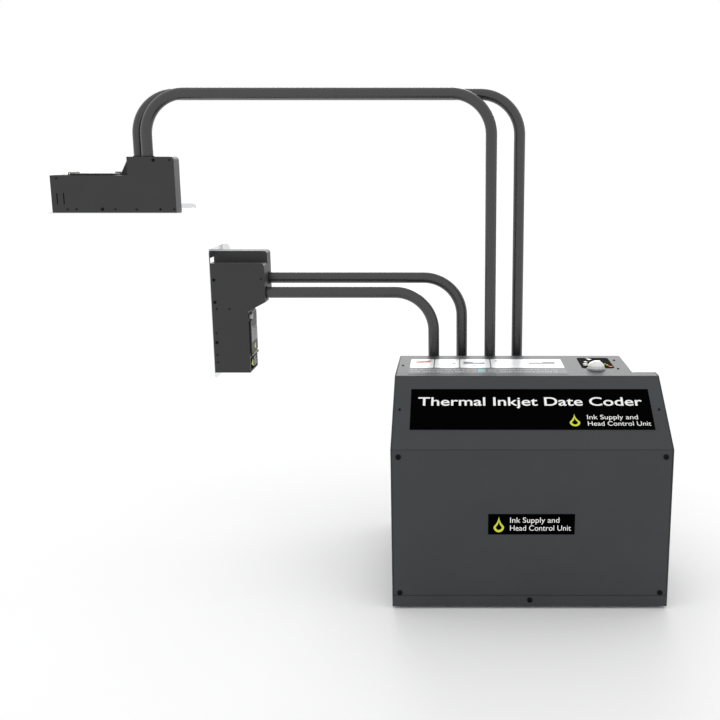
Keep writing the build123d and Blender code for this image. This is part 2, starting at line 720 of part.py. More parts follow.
def build_head(prefix, frame, guide_side):
    place = frame.location
    hinge_u = lid_end + hinge_radius
    hinge_w = head_low + hinge_radius + lid_lift
    shells = {}
    ear_faces, bars, plates, boards, sleds = [], [], [], [], []
    for side, points in (("a", outline_a), ("b", outline_b)):
        t0 = 0.0 if side == "a" else half_thick
        t1 = t0 + half_thick
        shell = half_shell(points, t0, t1)
        middle = (t0 + t1) / 2
        bar_u = bar_start if side == "a" else start_b + bar_gap_b
        bar_end = bar_start + bar_length
        shell = shell - head_box(bar_u + window_end, bar_end - window_end,
                                 middle - bar_width / 2 + window_side,
                                 middle + bar_width / 2 - window_side, -1, head_wall + 0.1)
        along, across = ((port_a, port_across[0]), (port_b, port_across[1]))[side == "b"]
        port = Plane(origin=(-along, across, head_tall), z_dir=(0, 0, 1))
        shell = drill(shell, [port], conduit_radius + collar_neck_wall, head_wall + collar_neck)
        well_from = lid_start + (well_end if side == "a" else well_latch)
        well_t = (well_side, half_thick - well_split)
        if side == "b":
            well_t = (half_thick + well_split, 2 * half_thick - well_side)
        shell = shell - head_box(well_from, lid_end - well_end, well_t[0], well_t[1],
                                 head_low - head_wall - 1, head_low + 1)
        ear_t = (ear_inset, ear_inset + ear_width)
        if side == "b":
            ear_t = (2 * half_thick - ear_inset - ear_width, 2 * half_thick - ear_inset)
        ear_faces.append(ear_t)
        ear = head_box(hinge_u - hinge_radius, hinge_u + hinge_radius, ear_t[0], ear_t[1],
                       head_low - head_wall, hinge_w) \
            + rod(Plane(origin=(-hinge_u, ear_t[0], hinge_w), z_dir=(0, 1, 0)), hinge_radius,
                  ear_t[1] - ear_t[0])
        shell = shell + ear
        shell = shell - rod(Plane(origin=(-hinge_u, 0, hinge_w), z_dir=(0, 1, 0)), pin_radius,
                            2 * half_thick)
        shells[side] = shell
        bar_w = nozzle_level + nozzle_thick
        bar = head_box(bar_u, bar_end, middle - bar_width / 2, middle + bar_width / 2, bar_w,
                       bar_w + bar_height)
        bars.append(bar + head_box(bar_u + bar_rib_inset, bar_end - bar_rib_inset,
                                   middle - bar_rib_half, middle + bar_rib_half,
                                   bar_w + bar_height, bar_w + bar_height + bar_rib_height))
        plates.append(head_box(bar_u, bar_end, middle - bar_width / 2 + nozzle_inset,
                               middle + bar_width / 2 - nozzle_inset, nozzle_level, bar_w))
        boards.append(driver_board(side, t0, bar_w))
        sleds.append(sled(side, middle))

    # Two tapped bosses on side A carry the head, and a stud on side B carries the lid latch.
    bolts = [Plane(origin=(-(head_bolt_first + i * head_bolt_pitch), 0, head_bolt_up),
                   z_dir=(0, -1, 0)) for i in (0, 1)]
    for bolt in bolts:
        boss = rod(bolt.offset(-head_bolt_depth), boss_radius, head_bolt_depth)
        shells["a"] = shells["a"] + boss - rod(bolt.offset(-head_bolt_depth), head_bolt_radius,
                                               head_bolt_depth + 1)
    for slot_u in side_slot_places:
        shells["a"] = shells["a"] - head_box(slot_u - side_slot_half, slot_u + side_slot_half, -1,
                                             head_wall + 1, *side_slot_levels)
    latch_across = 2 * half_thick - latch_inset
    latch = Plane(origin=(-latch_at, latch_across, head_low), z_dir=(0, 0, 1))
    shells["b"] = shells["b"] + rod(latch.offset(-head_wall), stud_radius,
                                    head_wall + latch_height)

    # Screw heads on the outer faces of both halves.
    screws = []
    for marks, t, direction in ((screws_a, 0.0, (0, -1, 0)), (screws_b, 2 * half_thick, (0, 1, 0))):
        for along, up, big in marks:
            plane = Plane(origin=(-along, t, up), z_dir=direction)
            radius = big_screw_radius if big else tiny_screw_radius
            side = "a" if t == 0 else "b"
            shank = radius * 0.45
            shells[side] = shells[side] - rod(plane.offset(1), shank + hole_gap, -head_wall - 2)
            head = rod(plane, radius, head_screw_height)
            slot = plane.offset(head_screw_height - driver_slot_depth) \
                * Rectangle(radius * 1.4, driver_slot_width)
            screws.append(head - extrude(slot, amount=1) + rod(plane, shank, -head_wall))

    lid_top = head_low + lid_lift + lid_thick
    lid = head_box(lid_start, lid_end, lid_inset, 2 * half_thick - lid_inset, head_low + lid_lift,
                   lid_top)
    lid = fillet(lid.edges().filter_by(Axis.Z), 3)
    lid = chamfer(lid.faces().sort_by(Axis.Z)[-1].edges(), 0.6)
    lid = lid - head_box(lid_start - 1, lid_start + lid_notch, latch_across - latch_radius - 2,
                         2 * half_thick, head_low, lid_top + 1)
    barrel_t = (ear_faces[0][1] + free_gap, ear_faces[1][0] - free_gap)
    barrel_plane = Plane(origin=(-hinge_u, barrel_t[0], hinge_w), z_dir=(0, 1, 0))
    barrel = rod(barrel_plane, hinge_radius, barrel_t[1] - barrel_t[0]) \
        + head_box(lid_end - 2, hinge_u, barrel_t[0], barrel_t[1], head_low + lid_lift,
                   head_low + lid_lift + lid_thick)
    for t0, t1 in ((0, barrel_t[0]), (barrel_t[1], 2 * half_thick)):
        lid = lid - head_box(lid_end - 1.0, lid_end + 1, t0, t1, head_low, lid_top + 1)
    lid = lid + barrel - rod(barrel_plane.offset(-1), pin_radius + run_gap, 2 * half_thick)
    pin = rod(Plane(origin=(-hinge_u, ear_faces[0][0], hinge_w), z_dir=(0, 1, 0)), pin_radius,
              ear_faces[1][1] - ear_faces[0][0])

    turn = rod(latch.offset(lid_lift), latch_radius, latch_height - lid_lift)
    arm_w = head_low + lid_lift + lid_thick + free_gap
    arm = block(-latch_at - latch_arm_half, -latch_at + latch_arm_half, latch_across,
                latch_across + latch_arm, arm_w, head_low + latch_height)
    arm = fillet(arm.edges().filter_by(Axis.Z).group_by(Axis.Y)[-1], latch_arm_half - 1.5)
    turn = turn + arm - rod(latch, stud_radius + run_gap, latch_height + 1)

    near = 0.0 if guide_side > 0 else 2 * half_thick
    flat_end = near + guide_side * guide_depth
    lip_run = guide_lip * cos(radians(guide_lip_angle))
    lip_rise = guide_lip * sin(radians(guide_lip_angle))
    tip = flat_end + guide_side * lip_run
    guide_points = [(near, 0), (flat_end, 0), (tip, lip_rise), (tip, lip_rise - guide_thick),
                    (flat_end, -guide_thick), (near, -guide_thick)]
    guide = side_slab(guide_points, -head_length - guide_overhang, guide_wide_end)
    guide = guide - head_box(bar_start - guide_window, bar_start + bar_length + guide_window,
                             guide_window_side, 2 * half_thick - guide_window_side,
                             -guide_thick - 1, 1)
    plan_length = head_length + guide_overhang + guide_wide_end
    plan = Pos(guide_wide_end - plan_length / 2, (near + tip) / 2, -guide_thick - 1) \
        * RectangleRounded(plan_length, abs(tip - near), guide_corner)
    guide = guide & extrude(plan, amount=guide_thick + lip_rise + 2)

    nodes[f"{prefix}_side_a_housing"] = place * shells["a"]
    nodes[f"{prefix}_side_b_housing"] = place * shells["b"]
    nodes[f"{prefix}_print_bars"] = [place * b for b in bars]
    nodes[f"{prefix}_guide_plate"] = place * guide
    nodes[f"{prefix}_capping_sleds"] = [place * s for s in sleds]
    nodes[f"{prefix}_access_lid"] = place * lid
    nodes[f"{prefix}_lid_latch"] = place * turn
    for name, solids in (("nozzle_plates", plates), ("driver_boards", boards),
                         ("head_screws", screws), ("lid_pins", [pin])):
        nodes.setdefault(name, []).extend(place * s for s in solids)


# ---------------------------------------------------------------- inside and on the rear
def build_electrics():
    """Chassis plate with the supply, the controller board and the two ink pumps."""
    chassis_y = y_front + chassis_behind
    x0 = -x_inner + flange + fold_gap
    x1 = x_bay - sheet - chassis_side_gap
    plate = block(x0, x1, chassis_y, chassis_y + sheet, z_floor, z_ledge - chassis_top_gap)
    plate = plate + block(x0, x1, chassis_y, chassis_y + chassis_foot, z_floor, z_floor + sheet)
    motors = [outward(pump_x, chassis_y, z, (0, -1, 0)) for z in pump_levels]
    nodes["chassis_plate"] = drill(plate, motors, motor_radius + hole_gap, 2 * sheet)

    length, depth, height = supply_size
    y0 = chassis_y + supply_behind
    supply = block(x0, x0 + length, y0, y0 + depth, z_floor, z_floor + height)
    supply = fillet(supply.edges().filter_by(Axis.Y), supply_edge)
    slot_x0, slot_y0 = supply_slot_inset
    for i in range(supply_slots):
        slot_x = x0 + slot_x0 + i * supply_slot_pitch
        supply = supply - block(slot_x, slot_x + supply_slot_width, y0 + slot_y0,
                                y0 + depth - slot_y0, z_floor + height - supply_edge,
                                z_floor + height + 1)
    nodes["power_supply"] = supply

    width, tall, thick = board_size
    bx, bz = x0 + board_corner[0], z_floor + board_corner[1]
    face = chassis_y - standoff_height
    board = block(bx, bx + width, face - thick, face, bz, bz + tall)
    for dx in (standoff_inset, width - standoff_inset):
        for dz in (standoff_inset, tall - standoff_inset):
            post = Plane(origin=(bx + dx, face, bz + dz), z_dir=(0, 1, 0))
            board = board + rod(post, standoff_radius, standoff_height)
    for dx, dz, w, h, t in chips:
        board = board + block(bx + dx, bx + dx + w, face - thick - t, face - thick, bz + dz,
                              bz + dz + h)
    nodes["controller_board"] = board

    nodes["ink_pumps"] = []
    for motor, name in zip(motors, ("pump_rotor_low", "pump_rotor_high")):
        nodes["ink_pumps"].append(pump(motor))
        nodes[name] = pump_rotor(motor)


def pump(motor):
    """Peristaltic pump: open round case, motor behind it and shaft in front."""
    body = rod(motor, pump_radius, pump_depth) \
        - rod(motor.offset(pump_back), pump_radius - pump_wall, pump_depth)
    body = body + rod(motor.offset(-sheet - motor_length), motor_radius,
                      motor_length + sheet + pump_back - 1)
    return body + rod(motor, pump_shaft_radius, pump_depth - sheet * 2)


def pump_rotor(motor):
    """Rotor with three rollers, bored for the pump's shaft."""
    start = motor.offset(pump_back + free_gap)
    rotor = rod(start, rotor_hub_radius, rotor_hub_length)
    arm_long, arm_wide, arm_thick = rotor_arm
    for i in range(3):
        turned = start * Rot(0, 0, i * 120)
        rotor = rotor + extrude(turned * Pos(rotor_arm_out, 0) * Rectangle(arm_long, arm_wide),
                                amount=arm_thick)
        roller = turned * Pos(roller_out, 0, arm_thick) * Circle(roller_radius)
        rotor = rotor + extrude(roller, amount=rotor_hub_length - arm_thick)
    return rotor - rod(motor, pump_shaft_radius + run_gap, pump_depth + 1)


def build_fan():
    """Axial fan behind the rear grille."""
    face = Plane(origin=(fan_x, y_rear - sheet, fan_z), x_dir=(1, 0, 0), z_dir=(0, -1, 0))
    throat = fan_size / 2 - fan_rim
    frame = extrude(face * RectangleRounded(fan_size, fan_size, 2 * fan_rim), amount=fan_depth) \
        - rod(face.offset(-1), throat, fan_depth + 2)
    hub = rod(face, fan_hub_radius, fan_hub_depth)
    for i in range(4):
        strut = face * Rot(0, 0, 45 + 90 * i) * Pos(throat / 2 + 1, 0) \
            * Rectangle(throat + 1, strut_width)
        hub = hub + extrude(strut, amount=strut_depth)
    nodes["fan_frame"] = frame + hub + rod(face, fan_shaft_radius, fan_hub_depth + fan_rotor_depth)
    start = face.offset(fan_hub_depth + free_gap)
    rotor = rod(start, fan_rotor_radius, fan_rotor_depth)
    blade_length = throat - fan_rotor_radius
    for i in range(fan_blades):
        seat = start.offset(fan_rotor_depth / 2) * Rot(0, 0, i * 360 / fan_blades) \
            * Pos(fan_rotor_radius - 2 + blade_length / 2, 0, 0) * Rot(blade_angle, 0, 0)
        rotor = rotor + seat * Box(blade_length, blade_thick, blade_chord)
    nodes["fan_rotor"] = rotor - rod(face, fan_shaft_radius + run_gap, fan_depth + fan_rotor_depth)


def build_inlet():
    """Mains inlet with its socket, its three pins and its rocker switch."""
    x, z, w, h = inlet_cutout
    outer = block(x - w / 2 - inlet_flange, x + w / 2 + inlet_flange, y_rear,
                  y_rear + inlet_flange_thick, z - h / 2 - inlet_flange, z + h / 2 + inlet_flange)
    outer = fillet(outer.edges().filter_by(Axis.Y), inlet_flange)
    module = outer + block(x - w / 2 + cutout_gap, x + w / 2 - cutout_gap, y_rear - inlet_depth,
                           y_rear, z - h / 2 + cutout_gap, z + h / 2 - cutout_gap)
    front = y_rear + inlet_flange_thick + 1
    socket_x = x + socket_right
    module = module - block(socket_x - socket_half[0], socket_x + socket_half[0],
                            y_rear - socket_depth, front, z - socket_half[1], z + socket_half[1])
    for dx, dz in socket_pins:
        module = module + block(socket_x + dx - pin_half[0], socket_x + dx + pin_half[0],
                                y_rear - socket_depth, y_rear - pin_short, z + dz - pin_half[1],
                                z + dz + pin_half[1])
    rocker_x = x - rocker_left
    half_x, half_z = rocker_half
    well_half = half_x + free_gap
    module = module - block(rocker_x - well_half, rocker_x + well_half, y_rear - rocker_depth,
                            front, z - half_z - 4 * free_gap, z + half_z + 4 * free_gap)
    for end in (-1, 1):
        axle = Plane(origin=(rocker_x + end * (well_half + 1), y_rear - rocker_pivot, z),
                     z_dir=(-end, 0, 0))
        module = module + rod(axle, axle_radius, 2.5)
    nodes["power_inlet"] = module

    pivot = Pos(rocker_x, y_rear - rocker_pivot, z)
    tipped = pivot * Rot(-rocker_tip, 0, 0)
    face = Rot(0, 90, 0) * Cylinder(half_z, 2 * half_x) \
        & Pos(0, half_z / 2 - 1, 0) * Box(2 * half_x, half_z, 2 * half_z)
    rocker = tipped * face + tipped * Box(2 * half_x, 8, 8)
    nodes["power_rocker"] = rocker - pivot * Rot(0, 90, 0) \
        * Cylinder(axle_radius + run_gap, 4 * half_x)


def build_ports():
    """Row of square data sockets."""
    x, z, w, h = ports_cutout
    ports = []
    for i in range(port_count):
        px = x + (i - (port_count - 1) / 2) * port_pitch
        shell = block(px - port_half, px + port_half, y_rear - port_depth, y_rear + port_out,
                      z - h / 2 + cutout_gap, z + h / 2 - cutout_gap)
        hollow_half = port_half - port_wall
        hollow_tall = h / 2 - cutout_gap - port_wall
        ports.append(shell - block(px - hollow_half, px + hollow_half, y_rear - port_socket_depth,
                                   y_rear + port_out + 1, z - hollow_tall, z + hollow_tall))
    nodes["data_ports"] = ports


# ---------------------------------------------------------------- build and write
build_base()
build_sides()
build_bay()
build_covers()
build_screws()
build_plates()
build_conduits()
build_head("upper", upper_head, 1)
build_head("lower", lower_head, -1)
build_electrics()
build_fan()
build_inlet()
build_ports()

os.makedirs("parts", exist_ok=True)
for name, shape in nodes.items():
    solids = shape if isinstance(shape, list) else [shape]
    solids = [solid for item in solids for solid in item.solids()]
    export_step(Compound(children=solids) if len(solids) > 1 else solids[0],
                f"parts/{name}.step")
print(len(nodes), "nodes written")
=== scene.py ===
"""Looks of a two-head inkjet date coder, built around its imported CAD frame.

The cabinet, the conduits and both print heads keep the places that the frame gives them. This
script adds softened sheet edges, formed conduits, printed plates and labels, controls, a moulded
ink container, and a finish for every surface.
"""

import json
import logging
import math
from dataclasses import dataclass
from enum import Enum

import bpy
from mathutils import Matrix, Vector

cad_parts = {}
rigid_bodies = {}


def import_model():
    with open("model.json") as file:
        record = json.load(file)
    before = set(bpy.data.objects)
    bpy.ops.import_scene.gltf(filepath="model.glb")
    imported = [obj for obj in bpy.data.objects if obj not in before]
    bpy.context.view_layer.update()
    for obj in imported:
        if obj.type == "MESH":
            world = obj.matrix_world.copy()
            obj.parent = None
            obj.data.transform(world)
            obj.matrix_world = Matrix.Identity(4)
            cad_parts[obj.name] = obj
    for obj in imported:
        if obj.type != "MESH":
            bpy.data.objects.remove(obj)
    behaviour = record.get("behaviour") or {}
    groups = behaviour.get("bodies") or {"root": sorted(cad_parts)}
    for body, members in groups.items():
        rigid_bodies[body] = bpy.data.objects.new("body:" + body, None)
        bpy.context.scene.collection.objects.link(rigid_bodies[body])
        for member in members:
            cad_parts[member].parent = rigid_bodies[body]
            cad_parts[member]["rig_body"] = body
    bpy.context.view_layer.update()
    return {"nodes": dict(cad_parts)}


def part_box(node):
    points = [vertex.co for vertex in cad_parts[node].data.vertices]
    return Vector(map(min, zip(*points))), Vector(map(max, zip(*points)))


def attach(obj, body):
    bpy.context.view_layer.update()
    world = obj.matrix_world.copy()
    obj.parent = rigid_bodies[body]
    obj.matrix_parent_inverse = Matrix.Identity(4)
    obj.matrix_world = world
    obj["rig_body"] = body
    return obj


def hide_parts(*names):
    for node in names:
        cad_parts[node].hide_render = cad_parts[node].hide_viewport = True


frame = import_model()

MM = 0.001
ROOT = "cabinet"
MERGE = 0.01 * MM        # points nearer than this are one point
FLAT_ANGLE = 0.8         # degrees; faces nearer to level than this are one face
SMOOTH_ANGLE = 32.0      # degrees; a sharper turn keeps its edge in the shading
BEVEL_ANGLE = 35.0       # degrees; a sharper turn gets a rounded edge
BEVEL_STEPS = 2
FLAT_WEIGHT = 90         # pull of the large faces on the shading
CAPITAL_SHARE = 0.69     # height of a capital as a share of the lettering's size
PATCH_SCALE = 1000       # patterns per metre for one of a millimetre
LOG = logging.getLogger("date_coder")


# ------------------------------------------------------------------ small tools
def hex_to_linear(code: str) -> tuple[float, float, float, float]:
    """Turn an sRGB hex colour into Blender's linear colour.

    Args:
        code: Colour as "#rrggbb".

    Returns:
        Red, green, blue and alpha, linear.
    """
    parts = [int(code[i:i + 2], 16) / 255 for i in (1, 3, 5)]
    red, green, blue = (c / 12.92 if c <= 0.04045 else ((c + 0.055) / 1.055) ** 2.4 for c in parts)
    return red, green, blue, 1.0


def add_node(tree: bpy.types.NodeTree, kind: str, settings: dict | None = None,
             links: dict | None = None) -> bpy.types.Node:
    """Add a shader node with its settings and its incoming links.

    Args:
        tree: Node tree that gets the node.
        kind: Blender's node type name.
        settings: Property or input values; an input is named by a key that starts with "in:".
        links: Input name to the output socket that feeds it.

    Returns:
        The new node.
    """
    node = tree.nodes.new(kind)
    for key, value in (settings or {}).items():
        if key.startswith("in:"):
            node.inputs[key[3:]].default_value = value
        else:
            setattr(node, key, value)
    for key, socket in (links or {}).items():
        tree.links.new(socket, node.inputs[key])
    return node


def select_only(*pieces: bpy.types.Object) -> None:
    """Deselect everything, then select these pieces and make the last one active.

    Args:
        pieces: Objects to select.
    """
    bpy.ops.object.select_all(action="DESELECT")
    for piece in pieces:
        piece.select_set(True)
        bpy.context.view_layer.objects.active = piece


def settle() -> bpy.types.Object:
    """Apply the active object's place, turn and scale to its mesh.

    Returns:
        The active object, now at the origin.
    """
    bpy.ops.object.transform_apply(location=True, rotation=True, scale=True)
    return bpy.context.active_object


def apply_modifier(piece: bpy.types.Object, kind: str, **settings: object) -> None:
    """Add a modifier with its settings and apply it.

    Args:
        piece: Mesh object that takes the modifier.
        kind: Blender's modifier type name.
        settings: Modifier properties.
    """
    select_only(piece)
    modifier = piece.modifiers.new(kind.lower(), kind)
    for key, value in settings.items():
        setattr(modifier, key, value)
    bpy.ops.object.modifier_apply(modifier=modifier.name)


def round_edges(piece: bpy.types.Object, width: float) -> None:
    """Bevel the sharp edges of a piece and shade it smooth.

    Args:
        piece: Mesh object.
        width: Width of the bevel in millimetres.
    """
    apply_modifier(piece, "BEVEL", width=width * MM, segments=BEVEL_STEPS, limit_method="ANGLE",
                   angle_limit=math.radians(BEVEL_ANGLE), harden_normals=False,
                   use_clamp_overlap=True)
    smooth(piece)


def smooth(piece: bpy.types.Object) -> None:
    """Shade a piece smooth, with the large faces kept flat.

    Args:
        piece: Mesh object.
    """
    select_only(piece)
    bpy.ops.object.shade_smooth_by_angle(angle=math.radians(SMOOTH_ANGLE))
    apply_modifier(piece, "WEIGHTED_NORMAL", keep_sharp=True, weight=FLAT_WEIGHT)


def add_box(name: str, low: Vector, high: Vector) -> bpy.types.Object:
    """Add a box between two corners, with its place in its mesh.

    Args:
        name: Name of the piece.
        low: Lowest corner in metres.
        high: Highest corner in metres.

    Returns:
        The box.
    """
    bpy.ops.object.select_all(action="DESELECT")
    low, high = Vector(low), Vector(high)
    bpy.ops.mesh.primitive_cube_add(size=1, location=(low + high) / 2, scale=high - low)
    bpy.context.active_object.name = name
    return settle()


def dress(piece: bpy.types.Object, finish: bpy.types.Material) -> None:
    """Give the whole piece one finish."""
    piece.data.materials.clear()
    piece.data.materials.append(finish)


def soften(node: str, finish: bpy.types.Material, width: float) -> bpy.types.Object:
    """Stand a softened copy of a CAD node in its place.

    Args:
        node: Name of the CAD node.
        finish: Material of the copy.
        width: Width of the rounded edges in millimetres; 0 leaves them sharp.

    Returns:
        The copy, which replaces the node.
    """
    source = frame["nodes"][node]
    piece = bpy.data.objects.new(f"{node}_skin", source.data.copy())
    bpy.context.scene.collection.objects.link(piece)
    select_only(piece)
    bpy.ops.object.mode_set(mode="EDIT")
    bpy.ops.mesh.select_all(action="SELECT")
    bpy.ops.mesh.remove_doubles(threshold=MERGE)
    bpy.ops.mesh.dissolve_limited(angle_limit=math.radians(FLAT_ANGLE))
    bpy.ops.object.mode_set(mode="OBJECT")
    if width > 0:
        round_edges(piece, width)
    else:
        smooth(piece)
    dress(piece, finish)
    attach(piece, source["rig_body"])
    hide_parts(node)
    return piece


@dataclass(frozen=True)
class Seat:
    """A flat place on the object, with its own right and up directions."""

    origin: Vector
    right: Vector
    up: Vector

    def matrix(self) -> Matrix:
        """Matrix that takes the seat's own measures to the row frame."""
        normal = self.right.cross(self.up)
        turn = Matrix((self.right, self.up, normal)).transposed().to_4x4()
        return Matrix.Translation(self.origin) @ turn

    def place(self, piece: bpy.types.Object) -> bpy.types.Object:
        """Move a piece made at the world origin onto the seat."""
        piece.data.transform(self.matrix())
        piece.data.update()
        return piece


class Align(Enum):
    """Where a line of lettering starts."""

    LEFT = "LEFT"
    CENTRE = "CENTER"


# ------------------------------------------------------------------ finishes
def new_finish(name: str) -> tuple[bpy.types.Material, bpy.types.NodeTree, bpy.types.Node]:
    """Start a node material.

    Args:
        name: Name of the finish.

    Returns:
        The material, its node tree and its main shader.
    """
    material = bpy.data.materials.new(name)
    material.use_nodes = True
    tree = material.node_tree
    return material, tree, tree.nodes["Principled BSDF"]


@dataclass(frozen=True)
class CoatedSurface:
    """A coating or moulding whose skin is a fine grain over a slow change of shade.

    Attributes:
        name: Name of the finish.
        colour: Main colour.
        shade: Second colour, which the slow change goes towards.
        roughness: Mean roughness.
        grain: Size of the grain in millimetres.
        relief: Height of the grain in millimetres.
        patch: Size of the slow change in millimetres.
        sheen_coat: Weight of a clear coat.
        mirror: Strength of the mirror reflection.
        ior: Index of refraction, which is low on a film that stays black at a glancing view.
    """

    name: str
    colour: str
    shade: str
    roughness: float
    grain: float
    relief: float
    patch: float = 60.0
    sheen_coat: float = 0.0
    mirror: float = 0.5
    ior: float = 1.5

    def build(self) -> bpy.types.Material:
        """Make the material.

        Returns:
            The finished material.
        """
        material, tree, shader = new_finish(self.name)
        place = add_node(tree, "ShaderNodeTexCoord").outputs["Object"]
        slow = add_node(tree, "ShaderNodeTexNoise", {"in:Scale": PATCH_SCALE / self.patch,
                                                     "in:Detail": 3.0}, {"Vector": place})
        tint = add_node(tree, "ShaderNodeMix", {"data_type": "RGBA"},
                        {"Factor": slow.outputs["Fac"]})
        tint.inputs["A"].default_value = hex_to_linear(self.colour)
        tint.inputs["B"].default_value = hex_to_linear(self.shade)
        fine = add_node(tree, "ShaderNodeTexNoise", {"in:Scale": PATCH_SCALE / self.grain,
                                                     "in:Detail": 2.0}, {"Vector": place})
        dull = add_node(tree, "ShaderNodeMapRange",
                        {"in:To Min": self.roughness - 0.06, "in:To Max": self.roughness + 0.06},
                        {"Value": fine.outputs["Fac"]})
        tree.links.new(tint.outputs["Result"], shader.inputs["Base Color"])
        tree.links.new(dull.outputs["Result"], shader.inputs["Roughness"])
        if self.relief:
            bump = add_node(tree, "ShaderNodeBump", {"in:Strength": 0.6,
                                                     "in:Distance": self.relief * MM},
                            {"Height": fine.outputs["Fac"]})
            tree.links.new(bump.outputs["Normal"], shader.inputs["Normal"])
        shader.inputs["Specular IOR Level"].default_value = self.mirror
        shader.inputs["IOR"].default_value = self.ior
        shader.inputs["Coat Weight"].default_value = self.sheen_coat
        shader.inputs["Coat Roughness"].default_value = 0.25
        return material


@dataclass(frozen=True)
class BrushedMetal:
    """Sheet or bar metal with fine lines from brushing or rolling.

    Attributes:
        name: Name of the finish.
        colour: Colour of the metal.
        roughness: Mean roughness.
        line: Spacing of the lines in millimetres.
        stretch: How many times longer than wide the lines are.
    """

    name: str
    colour: str
    roughness: float
    line: float
    stretch: float = 40.0

    def build(self) -> bpy.types.Material:
        """Make the material.

        Returns:
            The finished material.
        """
        material, tree, shader = new_finish(self.name)
        place = add_node(tree, "ShaderNodeTexCoord").outputs["Object"]
        drawn = add_node(tree, "ShaderNodeMapping",
                         {"in:Scale": (1 / self.stretch, 1.0, 1.0)}, {"Vector": place})
        lines = add_node(tree, "ShaderNodeTexNoise", {"in:Scale": PATCH_SCALE / self.line,
                                                      "in:Detail": 4.0},
                         {"Vector": drawn.outputs["Vector"]})
        dull = add_node(tree, "ShaderNodeMapRange",
                        {"in:To Min": self.roughness * 0.75, "in:To Max": self.roughness * 1.3},
                        {"Value": lines.outputs["Fac"]})
        bump = add_node(tree, "ShaderNodeBump", {"in:Strength": 0.35, "in:Distance": 0.02 * MM},
                        {"Height": lines.outputs["Fac"]})
        tree.links.new(dull.outputs["Result"], shader.inputs["Roughness"])
        tree.links.new(bump.outputs["Normal"], shader.inputs["Normal"])
        shader.inputs["Base Color"].default_value = hex_to_linear(self.colour)
        shader.inputs["Metallic"].default_value = 1.0
        return material


@dataclass(frozen=True)
class ClearPlastic:
    """A see-through moulding.

    Attributes:
        name: Name of the finish.
        colour: Tint.
        transmission: Share of light let through.
        roughness: Roughness of the surface.
        ripple: Size of the slow moulding ripple in millimetres.
    """

    name: str
    colour: str
    transmission: float
    roughness: float
    ripple: float = 9.0

    def build(self) -> bpy.types.Material:
        """Make the material.

        Returns:
            The finished material.
        """
        material, tree, shader = new_finish(self.name)
        place = add_node(tree, "ShaderNodeTexCoord").outputs["Object"]
        flow = add_node(tree, "ShaderNodeTexNoise", {"in:Scale": PATCH_SCALE / self.ripple},
                        {"Vector": place})
        bump = add_node(tree, "ShaderNodeBump", {"in:Strength": 0.15, "in:Distance": 0.1 * MM},
                        {"Height": flow.outputs["Fac"]})
        tree.links.new(bump.outputs["Normal"], shader.inputs["Normal"])
        shader.inputs["Base Color"].default_value = hex_to_linear(self.colour)
        shader.inputs["Roughness"].default_value = self.roughness
        shader.inputs["Transmission Weight"].default_value = self.transmission
        shader.inputs["IOR"].default_value = 1.49
        return material


